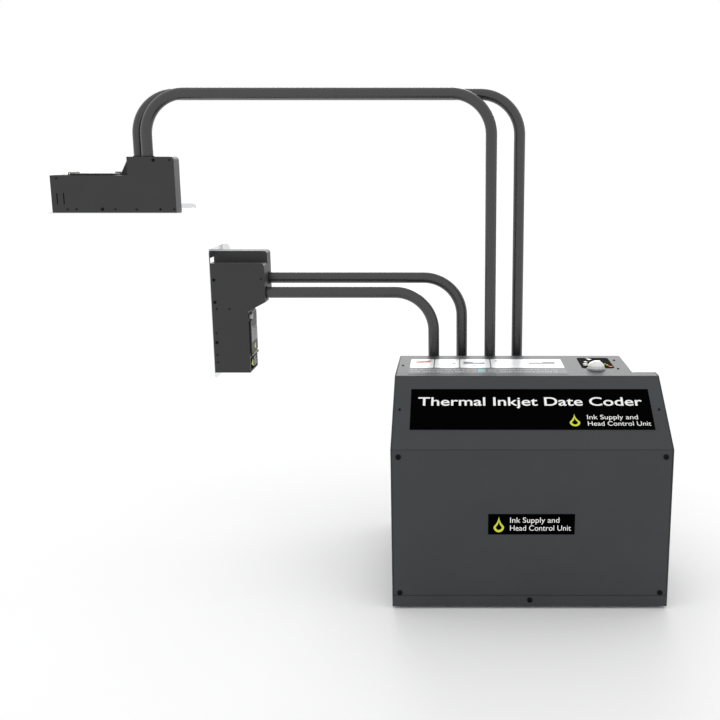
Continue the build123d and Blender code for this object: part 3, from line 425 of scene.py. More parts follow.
class Palette:
    """Every finish of the coder, made once."""

    def __init__(self) -> None:
        """Build the finishes."""
        # Polyester powder coat: a matt grey skin with an orange-peel grain. The real grain is
        # near 0.5 mm and is drawn at 1.4 mm, so that it shows at this distance.
        self.powder = CoatedSurface("powder_coat_grey", "#383a3d", "#333437", 0.52, 1.4, 0.05,
                                    mirror=0.34).build()
        # Stove enamel on cast aluminium: a little flatter than the cabinet.
        self.enamel = CoatedSurface("enamel_dark_grey", "#333334", "#2e2e2f", 0.5, 1.0, 0.04,
                                    mirror=0.34).build()
        # Smooth nylon-covered conduit: satin, with a long soft highlight.
        self.conduit = CoatedSurface("nylon_covered_conduit", "#28282a", "#242426", 0.27, 12.0,
                                     0.0, 40.0, mirror=0.75).build()
        # Moulded ABS, spark-eroded texture.
        self.black = CoatedSurface("abs_black", "#0e0e0f", "#0a0a0b", 0.46, 0.8, 0.03,
                                   mirror=0.35).build()
        self.grey = CoatedSurface("abs_light_grey", "#9c9ea1", "#929497", 0.45, 0.8, 0.02).build()
        self.white = CoatedSurface("abs_white", "#ecece9", "#e2e2df", 0.3, 0.8, 0.01, 20.0,
                                   0.2).build()
        # Screen-printed polycarbonate film, black, with white and coloured inks.
        self.film = CoatedSurface("polycarbonate_film_black", "#030303", "#020202", 0.6, 3.0,
                                  0.0, mirror=0.08, ior=1.08).build()
        self.film_grey = CoatedSurface("polycarbonate_film_grey", "#424447", "#3c3e41", 0.5, 1.2,
                                       0.01, mirror=0.4).build()
        inks = {"ink_white": "#f2f2f0", "ink_lime": "#cdd42a", "ink_red": "#b8242f",
                "ink_grey": "#5d6065", "ink_teal": "#3f979c", "ink_pale": "#b9bcc0"}
        for name, colour in inks.items():
            setattr(self, name, CoatedSurface(f"screen_{name}", colour, colour, 0.5, 0.6,
                                              0.01).build())
        self.vinyl = CoatedSurface("printed_vinyl_white", "#eceded", "#e3e4e5", 0.35, 2.0,
                                   0.01).build()
        # Black oxide on steel: nearly black, with a dull metal sheen.
        self.oxide = CoatedSurface("black_oxide_steel", "#060607", "#040405", 0.45, 0.5, 0.01,
                                   mirror=0.12).build()
        self.steel = BrushedMetal("stainless_brushed", "#d4d6d8", 0.3, 0.5).build()
        self.polished = BrushedMetal("stainless_polished", "#dcdee0", 0.12, 0.8).build()
        self.gold = BrushedMetal("gold_plated_nickel", "#d8b15c", 0.22, 0.3, 8.0).build()
        self.rubber = CoatedSurface("epdm_rubber", "#131313", "#0f0f0f", 0.8, 1.2, 0.06).build()
        self.board = CoatedSurface("solder_mask_green", "#14522c", "#0f4625", 0.4, 6.0, 0.03,
                                   8.0, 0.3).build()
        self.clear = ClearPlastic("polyurethane_clear", "#f3f8ff", 0.75, 0.08).build()
        self.bottle = CoatedSurface("polyethylene_natural", "#dfe0dc", "#d4d6d2", 0.42, 1.5, 0.03,
                                    50.0, 0.1).build()
        self.red_lens = ClearPlastic("lens_red", "#ff2a1c", 0.25, 0.15).build()
        self.amber_lens = ClearPlastic("lens_amber", "#ffb000", 0.25, 0.15).build()
        self.green_lens = ClearPlastic("lens_green", "#4be04a", 0.25, 0.15).build()


# ------------------------------------------------------------------ printed work
@dataclass
class Printer:
    """Prints raised ink on a seat: lettering, bars, outlines and drops.

    Attributes:
        seat: Place that is printed on.
        body: Body that the print rides on.
        depth: Thickness of the ink in millimetres.
    """

    seat: Seat
    body: str = ROOT
    depth: float = 0.12

    def _finish(self, piece: bpy.types.Object, name: str,
                ink: bpy.types.Material) -> bpy.types.Object:
        """Name a printed piece, clean it, seat it, dress it and let it ride.

        Args:
            piece: Piece made at the world origin.
            name: Name of the piece.
            ink: Ink finish.

        Returns:
            The seated piece.
        """
        piece.name = name
        select_only(piece)
        bpy.ops.object.mode_set(mode="EDIT")
        bpy.ops.mesh.select_all(action="SELECT")
        bpy.ops.mesh.remove_doubles(threshold=0.002 * MM)
        bpy.ops.mesh.normals_make_consistent(inside=False)
        bpy.ops.object.mode_set(mode="OBJECT")
        self.seat.place(piece)
        dress(piece, ink)
        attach(piece, self.body)
        return piece

    def line(self, name: str, words: str, at: tuple[float, float], height: float,
             ink: bpy.types.Material, align: Align = Align.LEFT, width: float = 0.0,
             weight: float = 0.0) -> bpy.types.Object:
        """Print one line of lettering.

        Args:
            name: Name of the piece.
            words: Generic words.
            at: Start or centre of the base line, in the seat's millimetres.
            height: Capital height in millimetres.
            ink: Ink finish.
            align: Where the line starts.
            width: Length to fit the line to, in millimetres; 0 leaves it as set.
            weight: Extra stroke weight, as a share of the height.

        Returns:
            The lettering as a mesh.
        """
        bpy.ops.object.select_all(action="DESELECT")
        bpy.ops.object.text_add()
        text = bpy.context.active_object
        text.data.body = words
        text.data.align_x = align.value
        text.data.size = height * MM / CAPITAL_SHARE
        text.data.offset = weight * height * MM
        text.data.extrude = self.depth * MM / 2
        bpy.ops.object.convert(target="MESH")
        text = bpy.context.active_object
        if width:
            share = width * MM / text.dimensions.x
            text.data.transform(Matrix.Diagonal((share, 1, 1, 1)))
        text.data.transform(Matrix.Translation((at[0] * MM, at[1] * MM, self.depth * MM / 2)))
        return self._finish(text, name, ink)

    def bar(self, name: str, low: tuple[float, float], high: tuple[float, float],
            ink: bpy.types.Material, corner: float = 0.0) -> bpy.types.Object:
        """Print a bar between two corners.

        Args:
            name: Name of the piece.
            low: Lower left corner in the seat's millimetres.
            high: Upper right corner in the seat's millimetres.
            ink: Ink finish.
            corner: Corner radius in millimetres.

        Returns:
            The bar.
        """
        piece = add_box(name, Vector((low[0], low[1], 0)) * MM,
                        Vector((high[0], high[1], self.depth)) * MM)
        if corner:
            select_only(piece)
            bpy.ops.object.mode_set(mode="EDIT")
            bpy.ops.mesh.select_mode(type="EDGE")
            bpy.ops.mesh.select_all(action="DESELECT")
            bpy.ops.object.mode_set(mode="OBJECT")
            points = piece.data.vertices
            for edge in piece.data.edges:
                ends = [points[i].co for i in edge.vertices]
                edge.select = abs(ends[0].z - ends[1].z) > self.depth * MM / 2
            bpy.ops.object.mode_set(mode="EDIT")
            bpy.ops.mesh.bevel(offset=corner * MM, segments=8)
            bpy.ops.object.mode_set(mode="OBJECT")
        return self._finish(piece, name, ink)

    def shape(self, name: str, points: list[tuple[float, float]],
              ink: bpy.types.Material) -> bpy.types.Object:
        """Print a filled outline.

        Args:
            name: Name of the piece.
            points: Corners in the seat's millimetres, in order.
            ink: Ink finish.

        Returns:
            The shape.
        """
        mesh = bpy.data.meshes.new(name)
        mesh.from_pydata([(x * MM, y * MM, 0) for x, y in points], [], [range(len(points))])
        piece = bpy.data.objects.new(name, mesh)
        bpy.context.scene.collection.objects.link(piece)
        select_only(piece)
        bpy.ops.object.mode_set(mode="EDIT")
        bpy.ops.mesh.select_all(action="SELECT")
        bpy.ops.mesh.extrude_region_move(
            TRANSFORM_OT_translate={"value": (0, 0, self.depth * MM)})
        bpy.ops.object.mode_set(mode="OBJECT")
        return self._finish(piece, name, ink)

    def drop(self, name: str, at: tuple[float, float], size: float,
             ink: bpy.types.Material) -> bpy.types.Object:
        """Print a round-bottomed ink drop, point up.

        Args:
            name: Name of the piece.
            at: Centre of the round part in the seat's millimetres.
            size: Radius of the round part in millimetres.
            ink: Ink finish.

        Returns:
            The drop.
        """
        bpy.ops.object.select_all(action="DESELECT")
        bpy.ops.mesh.primitive_cylinder_add(vertices=48, radius=size * MM, depth=self.depth * MM,
                                            location=(0, 0, self.depth * MM / 2))
        piece = settle()
        for point in piece.data.vertices:
            lift = max(0.0, point.co.y / (size * MM))
            point.co.x *= 1 - 0.92 * lift ** 1.6
            point.co.y *= 1 + 1.1 * lift ** 3
        piece.data.transform(Matrix.Translation((at[0] * MM, at[1] * MM, 0)))
        return self._finish(piece, name, ink)


@dataclass(frozen=True)
class HeadFrame:
    """The measures of one print head: along from its wide end, across, and above its print face.

    Attributes:
        origin: Corner at the wide end, on side A's outer face and on the print face.
        along: Direction from the wide end to the low end.
        across: Direction from side A to side B.
        out: Direction out of the print face's back.
        prefix: Start of the names of the head's nodes.
    """

    origin: Vector
    along: Vector
    across: Vector
    out: Vector
    prefix: str

    @classmethod
    def upper(cls) -> "HeadFrame":
        """Frame of the head that prints downwards."""
        low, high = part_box("upper_side_a_housing")
        return cls(Vector((high.x, low.y, low.z)), Vector((-1, 0, 0)), Vector((0, 1, 0)),
                   Vector((0, 0, 1)), "upper")

    @classmethod
    def lower(cls) -> "HeadFrame":
        """Frame of the head that prints sideways."""
        low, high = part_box("lower_side_a_housing")
        return cls(Vector((low.x, high.y, high.z)), Vector((0, 0, -1)), Vector((0, -1, 0)),
                   Vector((1, 0, 0)), "lower")

    def at(self, along: float, across: float, out: float) -> Vector:
        """World place of a point given in the head's millimetres."""
        return self.origin + (self.along * along + self.across * across + self.out * out) * MM

    def top_seat(self, along: float, across: float, out: float) -> Seat:
        """Seat on a face that looks away from the print face, read from the low end."""
        return Seat(self.at(along, across, out), -self.along, self.across)


# ------------------------------------------------------------------ sub-assemblies
@dataclass
class Cabinet:
    """The sheet-metal cabinet: softened panels, plates and feet."""

    palette: Palette
    edge: float = 0.7
    panels: tuple[str, ...] = ("base_pan", "left_side_panel", "right_side_panel", "bay_liner",
                               "front_cover", "sloped_fascia", "top_panel", "gland_ledge",
                               "rear_panel")

    def build(self) -> None:
        """Stand the softened panels in place and dress the rest."""
        for node in self.panels:
            soften(node, self.palette.powder, self.edge)
            LOG.info("panel %s", node)
        soften("foot_pads", self.palette.rubber, 0.4)
        for node in ("cover_screws", "panel_screws"):
            soften(node, self.palette.oxide, 0.25)
        for node in ("power_inlet", "power_rocker", "fan_frame", "fan_rotor", "ink_dock",
                     "selector_switch"):
            soften(node, self.palette.black, 0.4)
        soften("data_ports", self.palette.steel, 0.2)
        for node in ("chassis_plate", "power_supply"):
            soften(node, self.palette.steel, 0.3)
        soften("controller_board", self.palette.board, 0.1)
        soften("ink_pumps", self.palette.grey, 0.4)
        for node in ("pump_rotor_low", "pump_rotor_high"):
            soften(node, self.palette.white, 0.3)


@dataclass
class Conduits:
    """Four formed conduits with their glands and inner lines.

    Attributes:
        palette: Finishes.
        bend: Centreline radius of each bend in millimetres.
        bore: Inner radius in millimetres.
        sides: Sides of the tube.
        steps: Steps round each bend.
        plunge: Depth of the long conduits' ends in the upper head, in millimetres.
    """

    palette: Palette
    bend: float = 80.0
    bore: float = 9.5
    sides: int = 48
    steps: int = 28
    plunge: float = 12.0

    def _extrude(self, move: Vector) -> None:
        """Extrude the selected ring."""
        bpy.ops.mesh.extrude_region_move(TRANSFORM_OT_translate={"value": tuple(move)})

    def _turn(self, centre: Vector, angle: float) -> None:
        """Spin the selected ring about +Y through a bend."""
        bpy.ops.mesh.spin(steps=self.steps, angle=angle, center=tuple(centre), axis=(0, 1, 0))

    def tube(self, node: str) -> bpy.types.Object:
        """Form one conduit: up from its gland, over, and along or down to its head.

        Args:
            node: CAD node that it replaces.

        Returns:
            The conduit.
        """
        low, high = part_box(node)
        radius = (high.y - low.y) / 2
        bend = self.bend * MM
        y = (low.y + high.y) / 2
        foot_x, run_z = high.x - radius, high.z - radius
        over = node in ("conduit_3", "conduit_4")
        bpy.ops.object.select_all(action="DESELECT")
        bpy.ops.mesh.primitive_circle_add(vertices=self.sides, radius=radius,
                                          location=(foot_x, y, low.z))
        piece = settle()
        bpy.ops.object.mode_set(mode="EDIT")
        bpy.ops.mesh.select_all(action="SELECT")
        self._extrude(Vector((0, 0, run_z - bend - low.z)))
        self._turn(Vector((foot_x - bend, y, run_z - bend)), math.pi / 2)
        if over:
            leg_x = low.x + radius
            end_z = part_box("upper_side_a_housing")[1].z - self.plunge * MM
            self._extrude(Vector((leg_x + bend - (foot_x - bend), 0, 0)))
            self._turn(Vector((leg_x + bend, y, run_z - bend)), math.pi / 2)
            self._extrude(Vector((0, 0, end_z - (run_z - bend))))
        else:
            self._extrude(Vector((low.x - (foot_x - bend), 0, 0)))
        bpy.ops.mesh.select_all(action="SELECT")
        bpy.ops.mesh.remove_doubles(threshold=MERGE)
        bpy.ops.mesh.normals_make_consistent(inside=False)
        bpy.ops.object.mode_set(mode="OBJECT")
        piece.name = f"{node}_tube"
        apply_modifier(piece, "SOLIDIFY", thickness=radius - self.bore * MM, offset=-1.0)
        bpy.ops.object.shade_smooth_by_angle(angle=math.radians(SMOOTH_ANGLE))
        dress(piece, self.palette.conduit)
        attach(piece, ROOT)
        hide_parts(node)
        return piece

    def build(self) -> None:
        """Form all the conduits and dress the glands and the lines."""
        for number in range(1, 5):
            piece = self.tube(f"conduit_{number}")
            LOG.info("conduit %s", piece.name)
        soften("conduit_glands", self.palette.black, 0.5)
        soften("umbilical_lines", self.palette.rubber, 0.0)


@dataclass
class Heads:
    """Both print heads: housings, bars, guides, lids and latches.

    Attributes:
        palette: Finishes.
        edge: Rounded edge of the housings in millimetres.
        lid_to: End of the lids, from the wide end.
        lid_side: Lids inside the housing's sides.
        lid_top: Top of the lids above the print face.
        label_from: Start of the end labels.
        label_to: End of the end labels.
        low_top: Top of the low section above the print face.
        width: Width of a head.
        label_film: Thickness of the end labels.
        row_pitch: Pitch of the white lines on a lid.
    """

    palette: Palette
    edge: float = 0.9
    lid_to: float = 212.0
    lid_side: float = 6.0
    lid_top: float = 77.3
    label_from: float = 221.0
    label_to: float = 246.0
    low_top: float = 74.0
    width: float = 75.0
    label_film: float = 0.3
    row_pitch: float = 9.5

    def build(self) -> None:
        """Build both heads."""
        for head in (HeadFrame.upper(), HeadFrame.lower()):
            self.skins(head.prefix)
            self.lid_print(head)
            self.end_label(head)
            LOG.info("head %s", head.prefix)
        soften("head_screws", self.palette.oxide, 0.12)
        soften("nozzle_plates", self.palette.gold, 0.1)
        soften("driver_boards", self.palette.board, 0.1)
        soften("lid_pins", self.palette.steel, 0.1)

    def skins(self, prefix: str) -> None:
        """Soften and dress the CAD pieces of one head.

        Args:
            prefix: Start of the names of the head's nodes.
        """
        for side in ("a", "b"):
            soften(f"{prefix}_side_{side}_housing", self.palette.enamel, self.edge)
        soften(f"{prefix}_print_bars", self.palette.black, 0.4)
        soften(f"{prefix}_guide_plate", self.palette.polished, 0.3)
        soften(f"{prefix}_capping_sleds", self.palette.rubber, 0.3)
        soften(f"{prefix}_access_lid", self.palette.black, 0.3)
        soften(f"{prefix}_lid_latch", self.palette.grey, 0.4)

    def lid_print(self, head: HeadFrame) -> None:
        """Print white lines on the lid.

        Args:
            head: Frame of the head.
        """
        palette = self.palette
        body = frame["nodes"][f"{head.prefix}_access_lid"]["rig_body"]
        printer = Printer(head.top_seat(self.lid_to, self.lid_side, self.lid_top), body, 0.12)
        span = self.width - 2 * self.lid_side
        name = f"{head.prefix}_lid"
        for row, length in enumerate((40, 33, 38, 29, 36)):
            y = span - 12 - row * self.row_pitch
            printer.bar(f"{name}_line_{row + 1}", (24, y), (24 + length * 0.85, y + 2),
                        palette.ink_white)
        printer.line(f"{name}_title", "PRINT HEAD", (24, 4), 5.2, palette.ink_white, width=44)
        printer.shape(f"{name}_lime", [(5, 22), (19, 22), (12, 38)], palette.ink_lime)

    def end_label(self, head: HeadFrame) -> None:
        """Print the black label with a lime mark between the lid's hinge and the low end.

        Args:
            head: Frame of the head.
        """
        palette = self.palette
        name = f"{head.prefix}_end_label"
        seat = head.top_seat(self.label_to, self.lid_side, self.low_top)
        base = Printer(seat, depth=self.label_film)
        long = self.label_to - self.label_from
        wide = self.width - 2 * self.lid_side
        base.bar(name, (0, 0), (long, wide), palette.film, 2.0)
        normal = seat.right.cross(seat.up)
        top = Printer(Seat(seat.origin + normal * self.label_film * MM, seat.right, seat.up),
                      depth=0.1)
        top.shape(f"{name}_mark", [(4, 40), (long - 4, 40), (long / 2, wide - 5)],
                  palette.ink_lime)
        for row in range(5):
            top.bar(f"{name}_line_{row + 1}", (4 + 4 * row, 6), (5.2 + 4 * row, 34 - 3 * (row % 2)),
                    palette.ink_white)


@dataclass
class Plates:
    """The printed plates on the front: the name plate and the badge.

    Attributes:
        palette: Finishes.
        film: Thickness of a plate in millimetres.
        mark: Size of the drop marks in millimetres.
        inner: Size of the black inner drop, as a share of the mark.
    """

    palette: Palette
    film: float = 1.0
    mark: float = 9.5
    inner: float = 0.55

    def slope_seat(self) -> Seat:
        """Lower left corner of the name plate's face."""
        low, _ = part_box("name_plate")
        fascia_low, fascia_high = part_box("sloped_fascia")
        angle = math.atan2(fascia_high.z - fascia_low.z, fascia_high.y - fascia_low.y)
        up = Vector((0, math.cos(angle), math.sin(angle)))
        corner = Vector((low.x, low.y, low.z + self.film * MM * math.cos(angle)))
        return Seat(corner, Vector((1, 0, 0)), up)

    def _mark(self, printer: Printer, prefix: str, at: tuple[float, float]) -> None:
        """Print a lime drop with a smaller black one on it.

        Args:
            printer: Printer on the plate.
            prefix: Start of the names.
            at: Centre of the drop's round part in the seat's millimetres.
        """
        printer.drop(f"{prefix}_drop_outer", at, self.mark, self.palette.ink_lime)
        top = Printer(Seat(printer.seat.origin + printer.seat.right.cross(printer.seat.up)
                           * printer.depth * MM, printer.seat.right, printer.seat.up),
                      printer.body, printer.depth)
        top.drop(f"{prefix}_drop_inner", at, self.mark * self.inner, self.palette.film)

    def build(self) -> None:
        """Print the plates."""
        palette = self.palette
        soften("name_plate", palette.film, 0.2)
        soften("front_badge", palette.film, 0.2)
        printer = Printer(self.slope_seat())
        printer.line("name_line", "Thermal Inkjet Date Coder", (13.5, 58.0), 20.5,
                     palette.ink_white, width=412, weight=0.016)
        self._mark(printer, "name", (298, 17))
        printer.line("name_sub_1", "Ink Supply and", (320, 24.5), 10.5, palette.ink_white,
                     width=92)
        printer.line("name_sub_2", "Head Control Unit", (320, 9.0), 10.5, palette.ink_white,
                     width=114)
        low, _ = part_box("front_badge")
        badge = Printer(Seat(Vector((low.x, low.y, low.z)), Vector((1, 0, 0)), Vector((0, 0, 1))))
        self._mark(badge, "badge", (19, 14))
        badge.line("badge_line_1", "Ink Supply and", (38, 22.5), 10.0, palette.ink_white,
                   width=88)
        badge.line("badge_line_2", "Head Control Unit", (38, 7.5), 10.0, palette.ink_white,
                   width=109)


@dataclass
class InstructionLabel:
    """The strip of four pictured steps on the flat top, with its captions.

    Attributes:
        palette: Finishes.
        splits: Left edge of each panel and the end of the last, from the label's left edge.
        panel_low: Front edge of the panels, behind the label's front edge.
        panel_high: Back edge of the panels.
        gap: Gap between the panels.
        corner: Corner radius of a panel.
        caption: Capital height of the captions.
    """

    palette: Palette
    splits: tuple[float, ...] = (0.0, 48.5, 99.4, 160.7, 306.0)
    panel_low: float = 53.0
    panel_high: float = 134.0
    gap: float = 2.2
    corner: float = 5.0
    caption: float = 7.0

    def seat(self) -> Seat:
        """Front left corner of the label's face."""
        low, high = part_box("instruction_label")
        return Seat(Vector((low.x, low.y, high.z)), Vector((1, 0, 0)), Vector((0, 1, 0)))

    def build(self) -> None:
        """Print the strip."""
        palette = self.palette
        soften("instruction_label", palette.film_grey, 0.0)
        base = Printer(self.seat(), depth=0.1)
        for index, (left, right) in enumerate(zip(self.splits, self.splits[1:])):
            base.bar(f"step_panel_{index + 1}", (left + self.gap / 2, self.panel_low),
                     (right - self.gap / 2, self.panel_high), palette.vinyl, self.corner)
        lift = Vector((0, 0, base.depth * MM))
        seat = self.seat()
        self.pictures(Printer(Seat(seat.origin + lift, seat.right, seat.up), depth=0.08))
        self.captions(base)

    def pictures(self, printer: Printer) -> None:
        """Print the four pictures on their panels.

        Args:
            printer: Printer on the panels.
        """
        palette = self.palette
        wedge = [(9, 101), (14, 114), (40, 121), (43, 117), (38, 103), (20, 97)]
        printer.shape("step_1_wedge", wedge, palette.ink_red)
        printer.bar("step_1_bar", (10, 66), (24, 71), palette.ink_red)
        printer.shape("step_1_arrow", [(24, 63), (31, 68.5), (24, 74)], palette.ink_red)
        printer.bar("step_1_number", (41, 124), (44.5, 128), palette.ink_grey)
        printer.shape("step_2_mark", [(83, 90), (92, 90), (87.5, 101)], palette.ink_grey)
        printer.bar("step_2_line_1", (55, 84), (78, 86), palette.ink_pale)
        printer.bar("step_2_line_2", (55, 76), (72, 78), palette.ink_pale)
        printer.bar("step_2_number", (91, 124), (94.5, 128), palette.ink_grey)
        self.head_picture(printer, "step_3", 107.0, 42.0, -1)
        self.head_picture(printer, "step_4", 238.0, 52.0, 1)
        printer.shape("step_4_warning", [(168, 112), (178, 112), (173, 126)], palette.ink_grey)
        for row, width in enumerate((52, 44, 49)):
            printer.bar(f"step_4_line_{row + 1}", (168, 98 - 11 * row),
                        (168 + width, 101 - 11 * row), palette.ink_pale)

    def head_picture(self, printer: Printer, name: str, left: float, length: float,
                     way: int) -> None:
        """Print a small side view of a print head with an arrow.

        Args:
            printer: Printer on the panel.
            name: Start of the names.
            left: Left end of the picture.
            length: Length of the head.
            way: 1 with the tall end on the right, -1 with it on the left.
        """
        palette = self.palette
        profile = [(0, 0), (1, 0), (1, 1), (0.62, 1), (0.5, 0.62), (0, 0.62)]
        height = 22.0
        points = [(left + length * (x if way > 0 else 1 - x), 88 + height * y)
                  for x, y in profile]
        printer.shape(f"{name}_head", points, palette.ink_grey)
        middle = left + length / 2
        printer.shape(f"{name}_arrow", [(middle - 6, 80), (middle + 6, 80), (middle, 66)],
                      palette.ink_pale)
        printer.bar(f"{name}_rail", (left - 2, 83), (left + length + 2, 84.5), palette.ink_pale)

    def captions(self, printer: Printer) -> None:
        """Print the lines of small lettering in front of the panels.

        Args:
            printer: Printer on the label.
        """
        palette = self.palette
        rows = (("steps_line_1", "Fill or change the ink supply", 4, 32, 128),
                ("steps_line_2", "only when the red light is on", 4, 16, 128),
                ("steps_line_3", "Clean both print heads with a dry wipe", 176, 32, 112),
                ("steps_line_4", "and cap them before switching off", 176, 16, 112))
        for name, words, x, y, width in rows:
            printer.line(name, words, (x, y), self.caption, palette.ink_pale, width=width)
        printer.bar("steps_teal_patch", (134, 14), (149, 42), palette.ink_teal)
        printer.bar("steps_grey_patch", (153, 14), (170, 42), palette.ink_grey)


@dataclass
class ControlPanel:
    """The black overlay on the top with its symbols, the knob and the status lights."""

    palette: Palette

    def build(self) -> None:
        """Build the control panel."""
        palette = self.palette
        soften("control_overlay", palette.film, 0.0)
        soften("knob_ring", palette.grey, 0.3)
        soften("selector_knob", palette.white, 0.7)
        self.symbols()
        self.pointer(frame["nodes"]["selector_knob"]["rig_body"])
        self.lenses()

    def symbols(self) -> None:
        """Print the symbols round the knob."""
        palette = self.palette
        low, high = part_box("control_overlay")
        printer = Printer(Seat(Vector((low.x, low.y, high.z)), Vector((1, 0, 0)),
                               Vector((0, 1, 0))), depth=0.1)
        printer.bar("symbol_off_bar", (6, 26), (20, 31), palette.ink_white, 2.2)
        printer.shape("symbol_off_mark", [(5, 38), (12, 36), (17, 45), (9, 44)],
                      palette.ink_white)
        printer.drop("symbol_prime", (14, 58), 4.2, palette.ink_white)
        printer.shape("symbol_run", [(23, 76), (30, 82), (25, 90), (19, 86)], palette.ink_white)
        printer.bar("symbol_line_top", (18, 93), (24, 95.5), palette.ink_white, 1.0)
        for row, ink in enumerate((palette.ink_lime, palette.ink_white, palette.ink_white)):
            printer.bar(f"symbol_state_{row + 1}", (41 - row, 30 + row * 16),
                        (47 - row, 40 + row * 16), ink, 1.2)
        printer.bar("symbol_state_label", (56.5, 14), (61.5, 17.5), palette.ink_lime, 1.0)

    def pointer(self, body: str) -> None:
        """Set a grey pointer line into the knob's crown.

        Args:
            body: Body of the knob.
        """
        low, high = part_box("selector_knob")
        centre = (low + high) / 2
        piece = add_box("knob_pointer", Vector((centre.x - 0.7 * MM, centre.y, high.z - 0.5 * MM)),
                        Vector((centre.x + 0.7 * MM, centre.y + 5.5 * MM, high.z - 0.02 * MM)))
        dress(piece, self.palette.ink_grey)
        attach(piece, body)

    def lenses(self) -> None:
        """Give the three status lights their colours, from the front to the back."""
        piece = soften("status_leds", self.palette.red_lens, 0.0)
        for lens in (self.palette.amber_lens, self.palette.green_lens):
            piece.data.materials.append(lens)
        low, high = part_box("status_leds")
        third = (high.y - low.y) / 3
        for face in piece.data.polygons:
            face.material_index = min(2, int((face.center.y - low.y) / third))


@dataclass
class InkBay:
    """The ink container with its label, its cap, the sight tube and its nuts."""

    palette: Palette

    def build(self) -> None:
        """Dress the ink parts."""
        palette = self.palette
        body = frame["nodes"]["ink_container"]["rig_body"]
        soften("ink_container", palette.bottle, 0.0)
        soften("container_cap", palette.black, 0.3)
        soften("sight_tube", palette.clear, 0.0)
        soften("tube_nuts", palette.black, 0.2)
        low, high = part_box("ink_container")
        seat = Seat(Vector((high.x, low.y, low.z)), Vector((0, 1, 0)), Vector((0, 0, 1)))
        base = Printer(seat, body, 0.15)
        base.bar("bottle_label", (16, 24), (119, 164), palette.vinyl, 5.0)
        top = Printer(Seat(seat.origin + Vector((0.15 * MM, 0, 0)), seat.right, seat.up), body, 0.1)
        top.bar("bottle_band", (16.5, 132), (118.5, 156), palette.film, 3.0)
        title = Printer(Seat(seat.origin + Vector((0.25 * MM, 0, 0)), seat.right, seat.up), body,
                        0.1)
        title.line("bottle_title", "CODING INK", (25, 139), 9.5, palette.ink_white, width=84)
        top.drop("bottle_drop", (100, 94), 9.0, palette.ink_grey)
        top.line("bottle_volume", "BLACK", (25, 110), 8.0, palette.ink_grey, width=40)
        for row, length in enumerate((58, 52, 60, 46, 55, 86, 80, 84, 60)):
            top.bar(f"bottle_line_{row + 1}", (25, 99 - row * 8), (25 + length, 101 - row * 8),
                    palette.ink_grey)


@dataclass
class RearPrint:
    """Rating plate and socket lettering on the rear panel."""

    palette: Palette

    def build(self) -> None:
        """Print the rear panel."""
        palette = self.palette
        low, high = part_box("rear_panel")
        seat = Seat(Vector((high.x, high.y, low.z)), Vector((-1, 0, 0)), Vector((0, 0, 1)))
        base = Printer(seat, depth=0.2)
        base.bar("rating_plate", (300, 120), (400, 178), palette.vinyl, 2.0)
        top = Printer(Seat(seat.origin + Vector((0, 0.2 * MM, 0)), seat.right, seat.up), depth=0.1)
        top.line("rating_title", "DATE CODER", (306, 165), 6.5, palette.ink_grey, width=62)
        for row, words in enumerate(("100-240 V  50/60 Hz", "2.5 A MAX  FUSE 5 A",
                                     "INDOOR USE ONLY", "DISCONNECT BEFORE SERVICE")):
            top.line(f"rating_line_{row + 1}", words, (306, 153 - row * 9), 4.2,
                     palette.ink_grey)
        base.line("mains_title", "MAINS", (438, 82), 5.0, palette.ink_pale, Align.CENTRE)
        for index, words in enumerate(("3", "2", "1")):
            base.line(f"socket_{words}", words, (333 + 20 * index, 72), 5.0, palette.ink_pale,
                      Align.CENTRE)
        base.line("data_title", "DATA", (353, 82), 5.0, palette.ink_pale, Align.CENTRE)


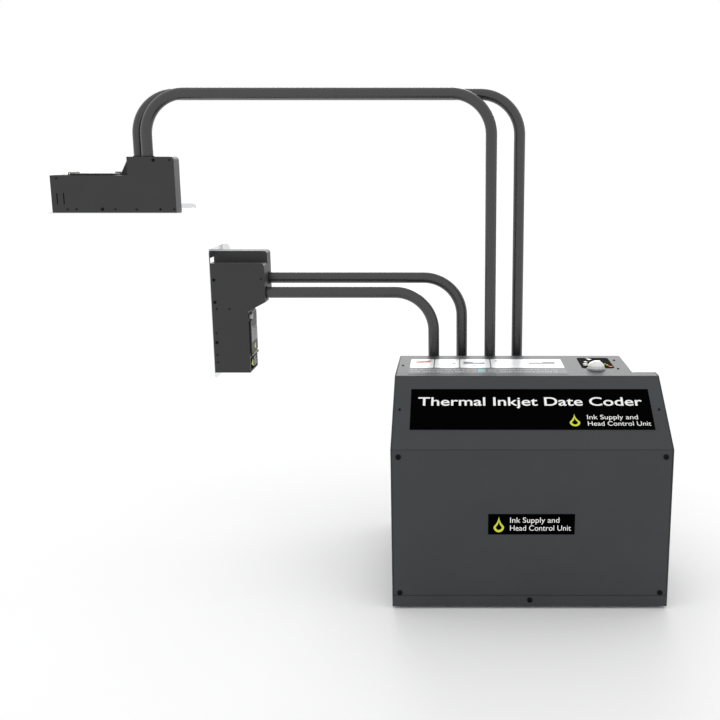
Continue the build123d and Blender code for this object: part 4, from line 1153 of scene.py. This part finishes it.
@dataclass
class Studio:
    """Pale floor, soft light and the camera.

    Attributes:
        camera_left: Camera left of the cabinet's middle, in metres.
        camera_front: Camera in front of the cabinet's front, in metres.
        camera_up: Camera above the base sheet, in metres.
        pitch: Downward tilt in degrees.
        lens: Focal length in millimetres on a 36 mm sensor.
        shift: Sideways shift of the frame.
        floor_size: Side of the floor in metres.
        overhead: Strength of the overhead light in watts per square metre.
        overhead_angle: Spread of the overhead light in degrees; a wide one has soft shadows.
        overhead_tilt: Tilt of the overhead light towards the back, in degrees.
    """

    camera_left: float = 0.136
    camera_front: float = 1.628
    camera_up: float = 0.805
    pitch: float = 12.0
    lens: float = 48.25
    shift: float = -0.132
    floor_size: float = 120.0
    overhead: float = 1.2
    overhead_angle: float = 40.0
    overhead_tilt: float = -72.0

    def camera(self) -> None:
        """Place the camera."""
        low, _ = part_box("base_pan")
        data = bpy.data.cameras.new("view")
        data.lens = self.lens
        data.sensor_width = 36.0
        data.shift_x = self.shift
        data.clip_end = 50
        camera = bpy.data.objects.new("view", data)
        camera.location = (-self.camera_left, low.y - self.camera_front, low.z + self.camera_up)
        camera.rotation_euler = (math.radians(90 - self.pitch), 0, 0)
        bpy.context.scene.collection.objects.link(camera)
        bpy.context.scene.camera = camera

    def build(self) -> None:
        """Build the studio."""
        self.camera()
        bpy.ops.object.select_all(action="DESELECT")
        bpy.ops.mesh.primitive_plane_add(size=self.floor_size, location=(0, 0, 0))
        floor = bpy.context.active_object
        floor.name = "studio_floor"
        floor.data.materials.append(CoatedSurface("studio_paper", "#f7f7f7", "#f5f5f5", 0.9, 5.0,
                                                  0.0, 800.0, mirror=0.2).build())
        world = bpy.data.worlds.new("studio_sky")
        bpy.context.scene.world = world
        world.use_nodes = True
        sky = world.node_tree.nodes["Background"]
        sky.inputs["Color"].default_value = (1, 1, 1, 1)
        sky.inputs["Strength"].default_value = 1.0
        data = bpy.data.lights.new("overhead", "SUN")
        data.energy = self.overhead
        data.angle = math.radians(self.overhead_angle)
        lamp = bpy.data.objects.new("overhead", data)
        lamp.rotation_euler = (math.radians(self.overhead_tilt), 0, 0)
        bpy.context.scene.collection.objects.link(lamp)
        bpy.context.scene.view_settings.view_transform = "Standard"


def main() -> None:
    """Build the coder's looks and the studio round it."""
    logging.basicConfig(level=logging.INFO, format="%(message)s")
    palette = Palette()
    Studio().build()
    for part in (Cabinet(palette), Conduits(palette), Heads(palette), Plates(palette),
                 InstructionLabel(palette), ControlPanel(palette), InkBay(palette),
                 RearPrint(palette)):
        part.build()
        LOG.info("built %s", type(part).__name__)


if __name__ == "__main__":
    main()
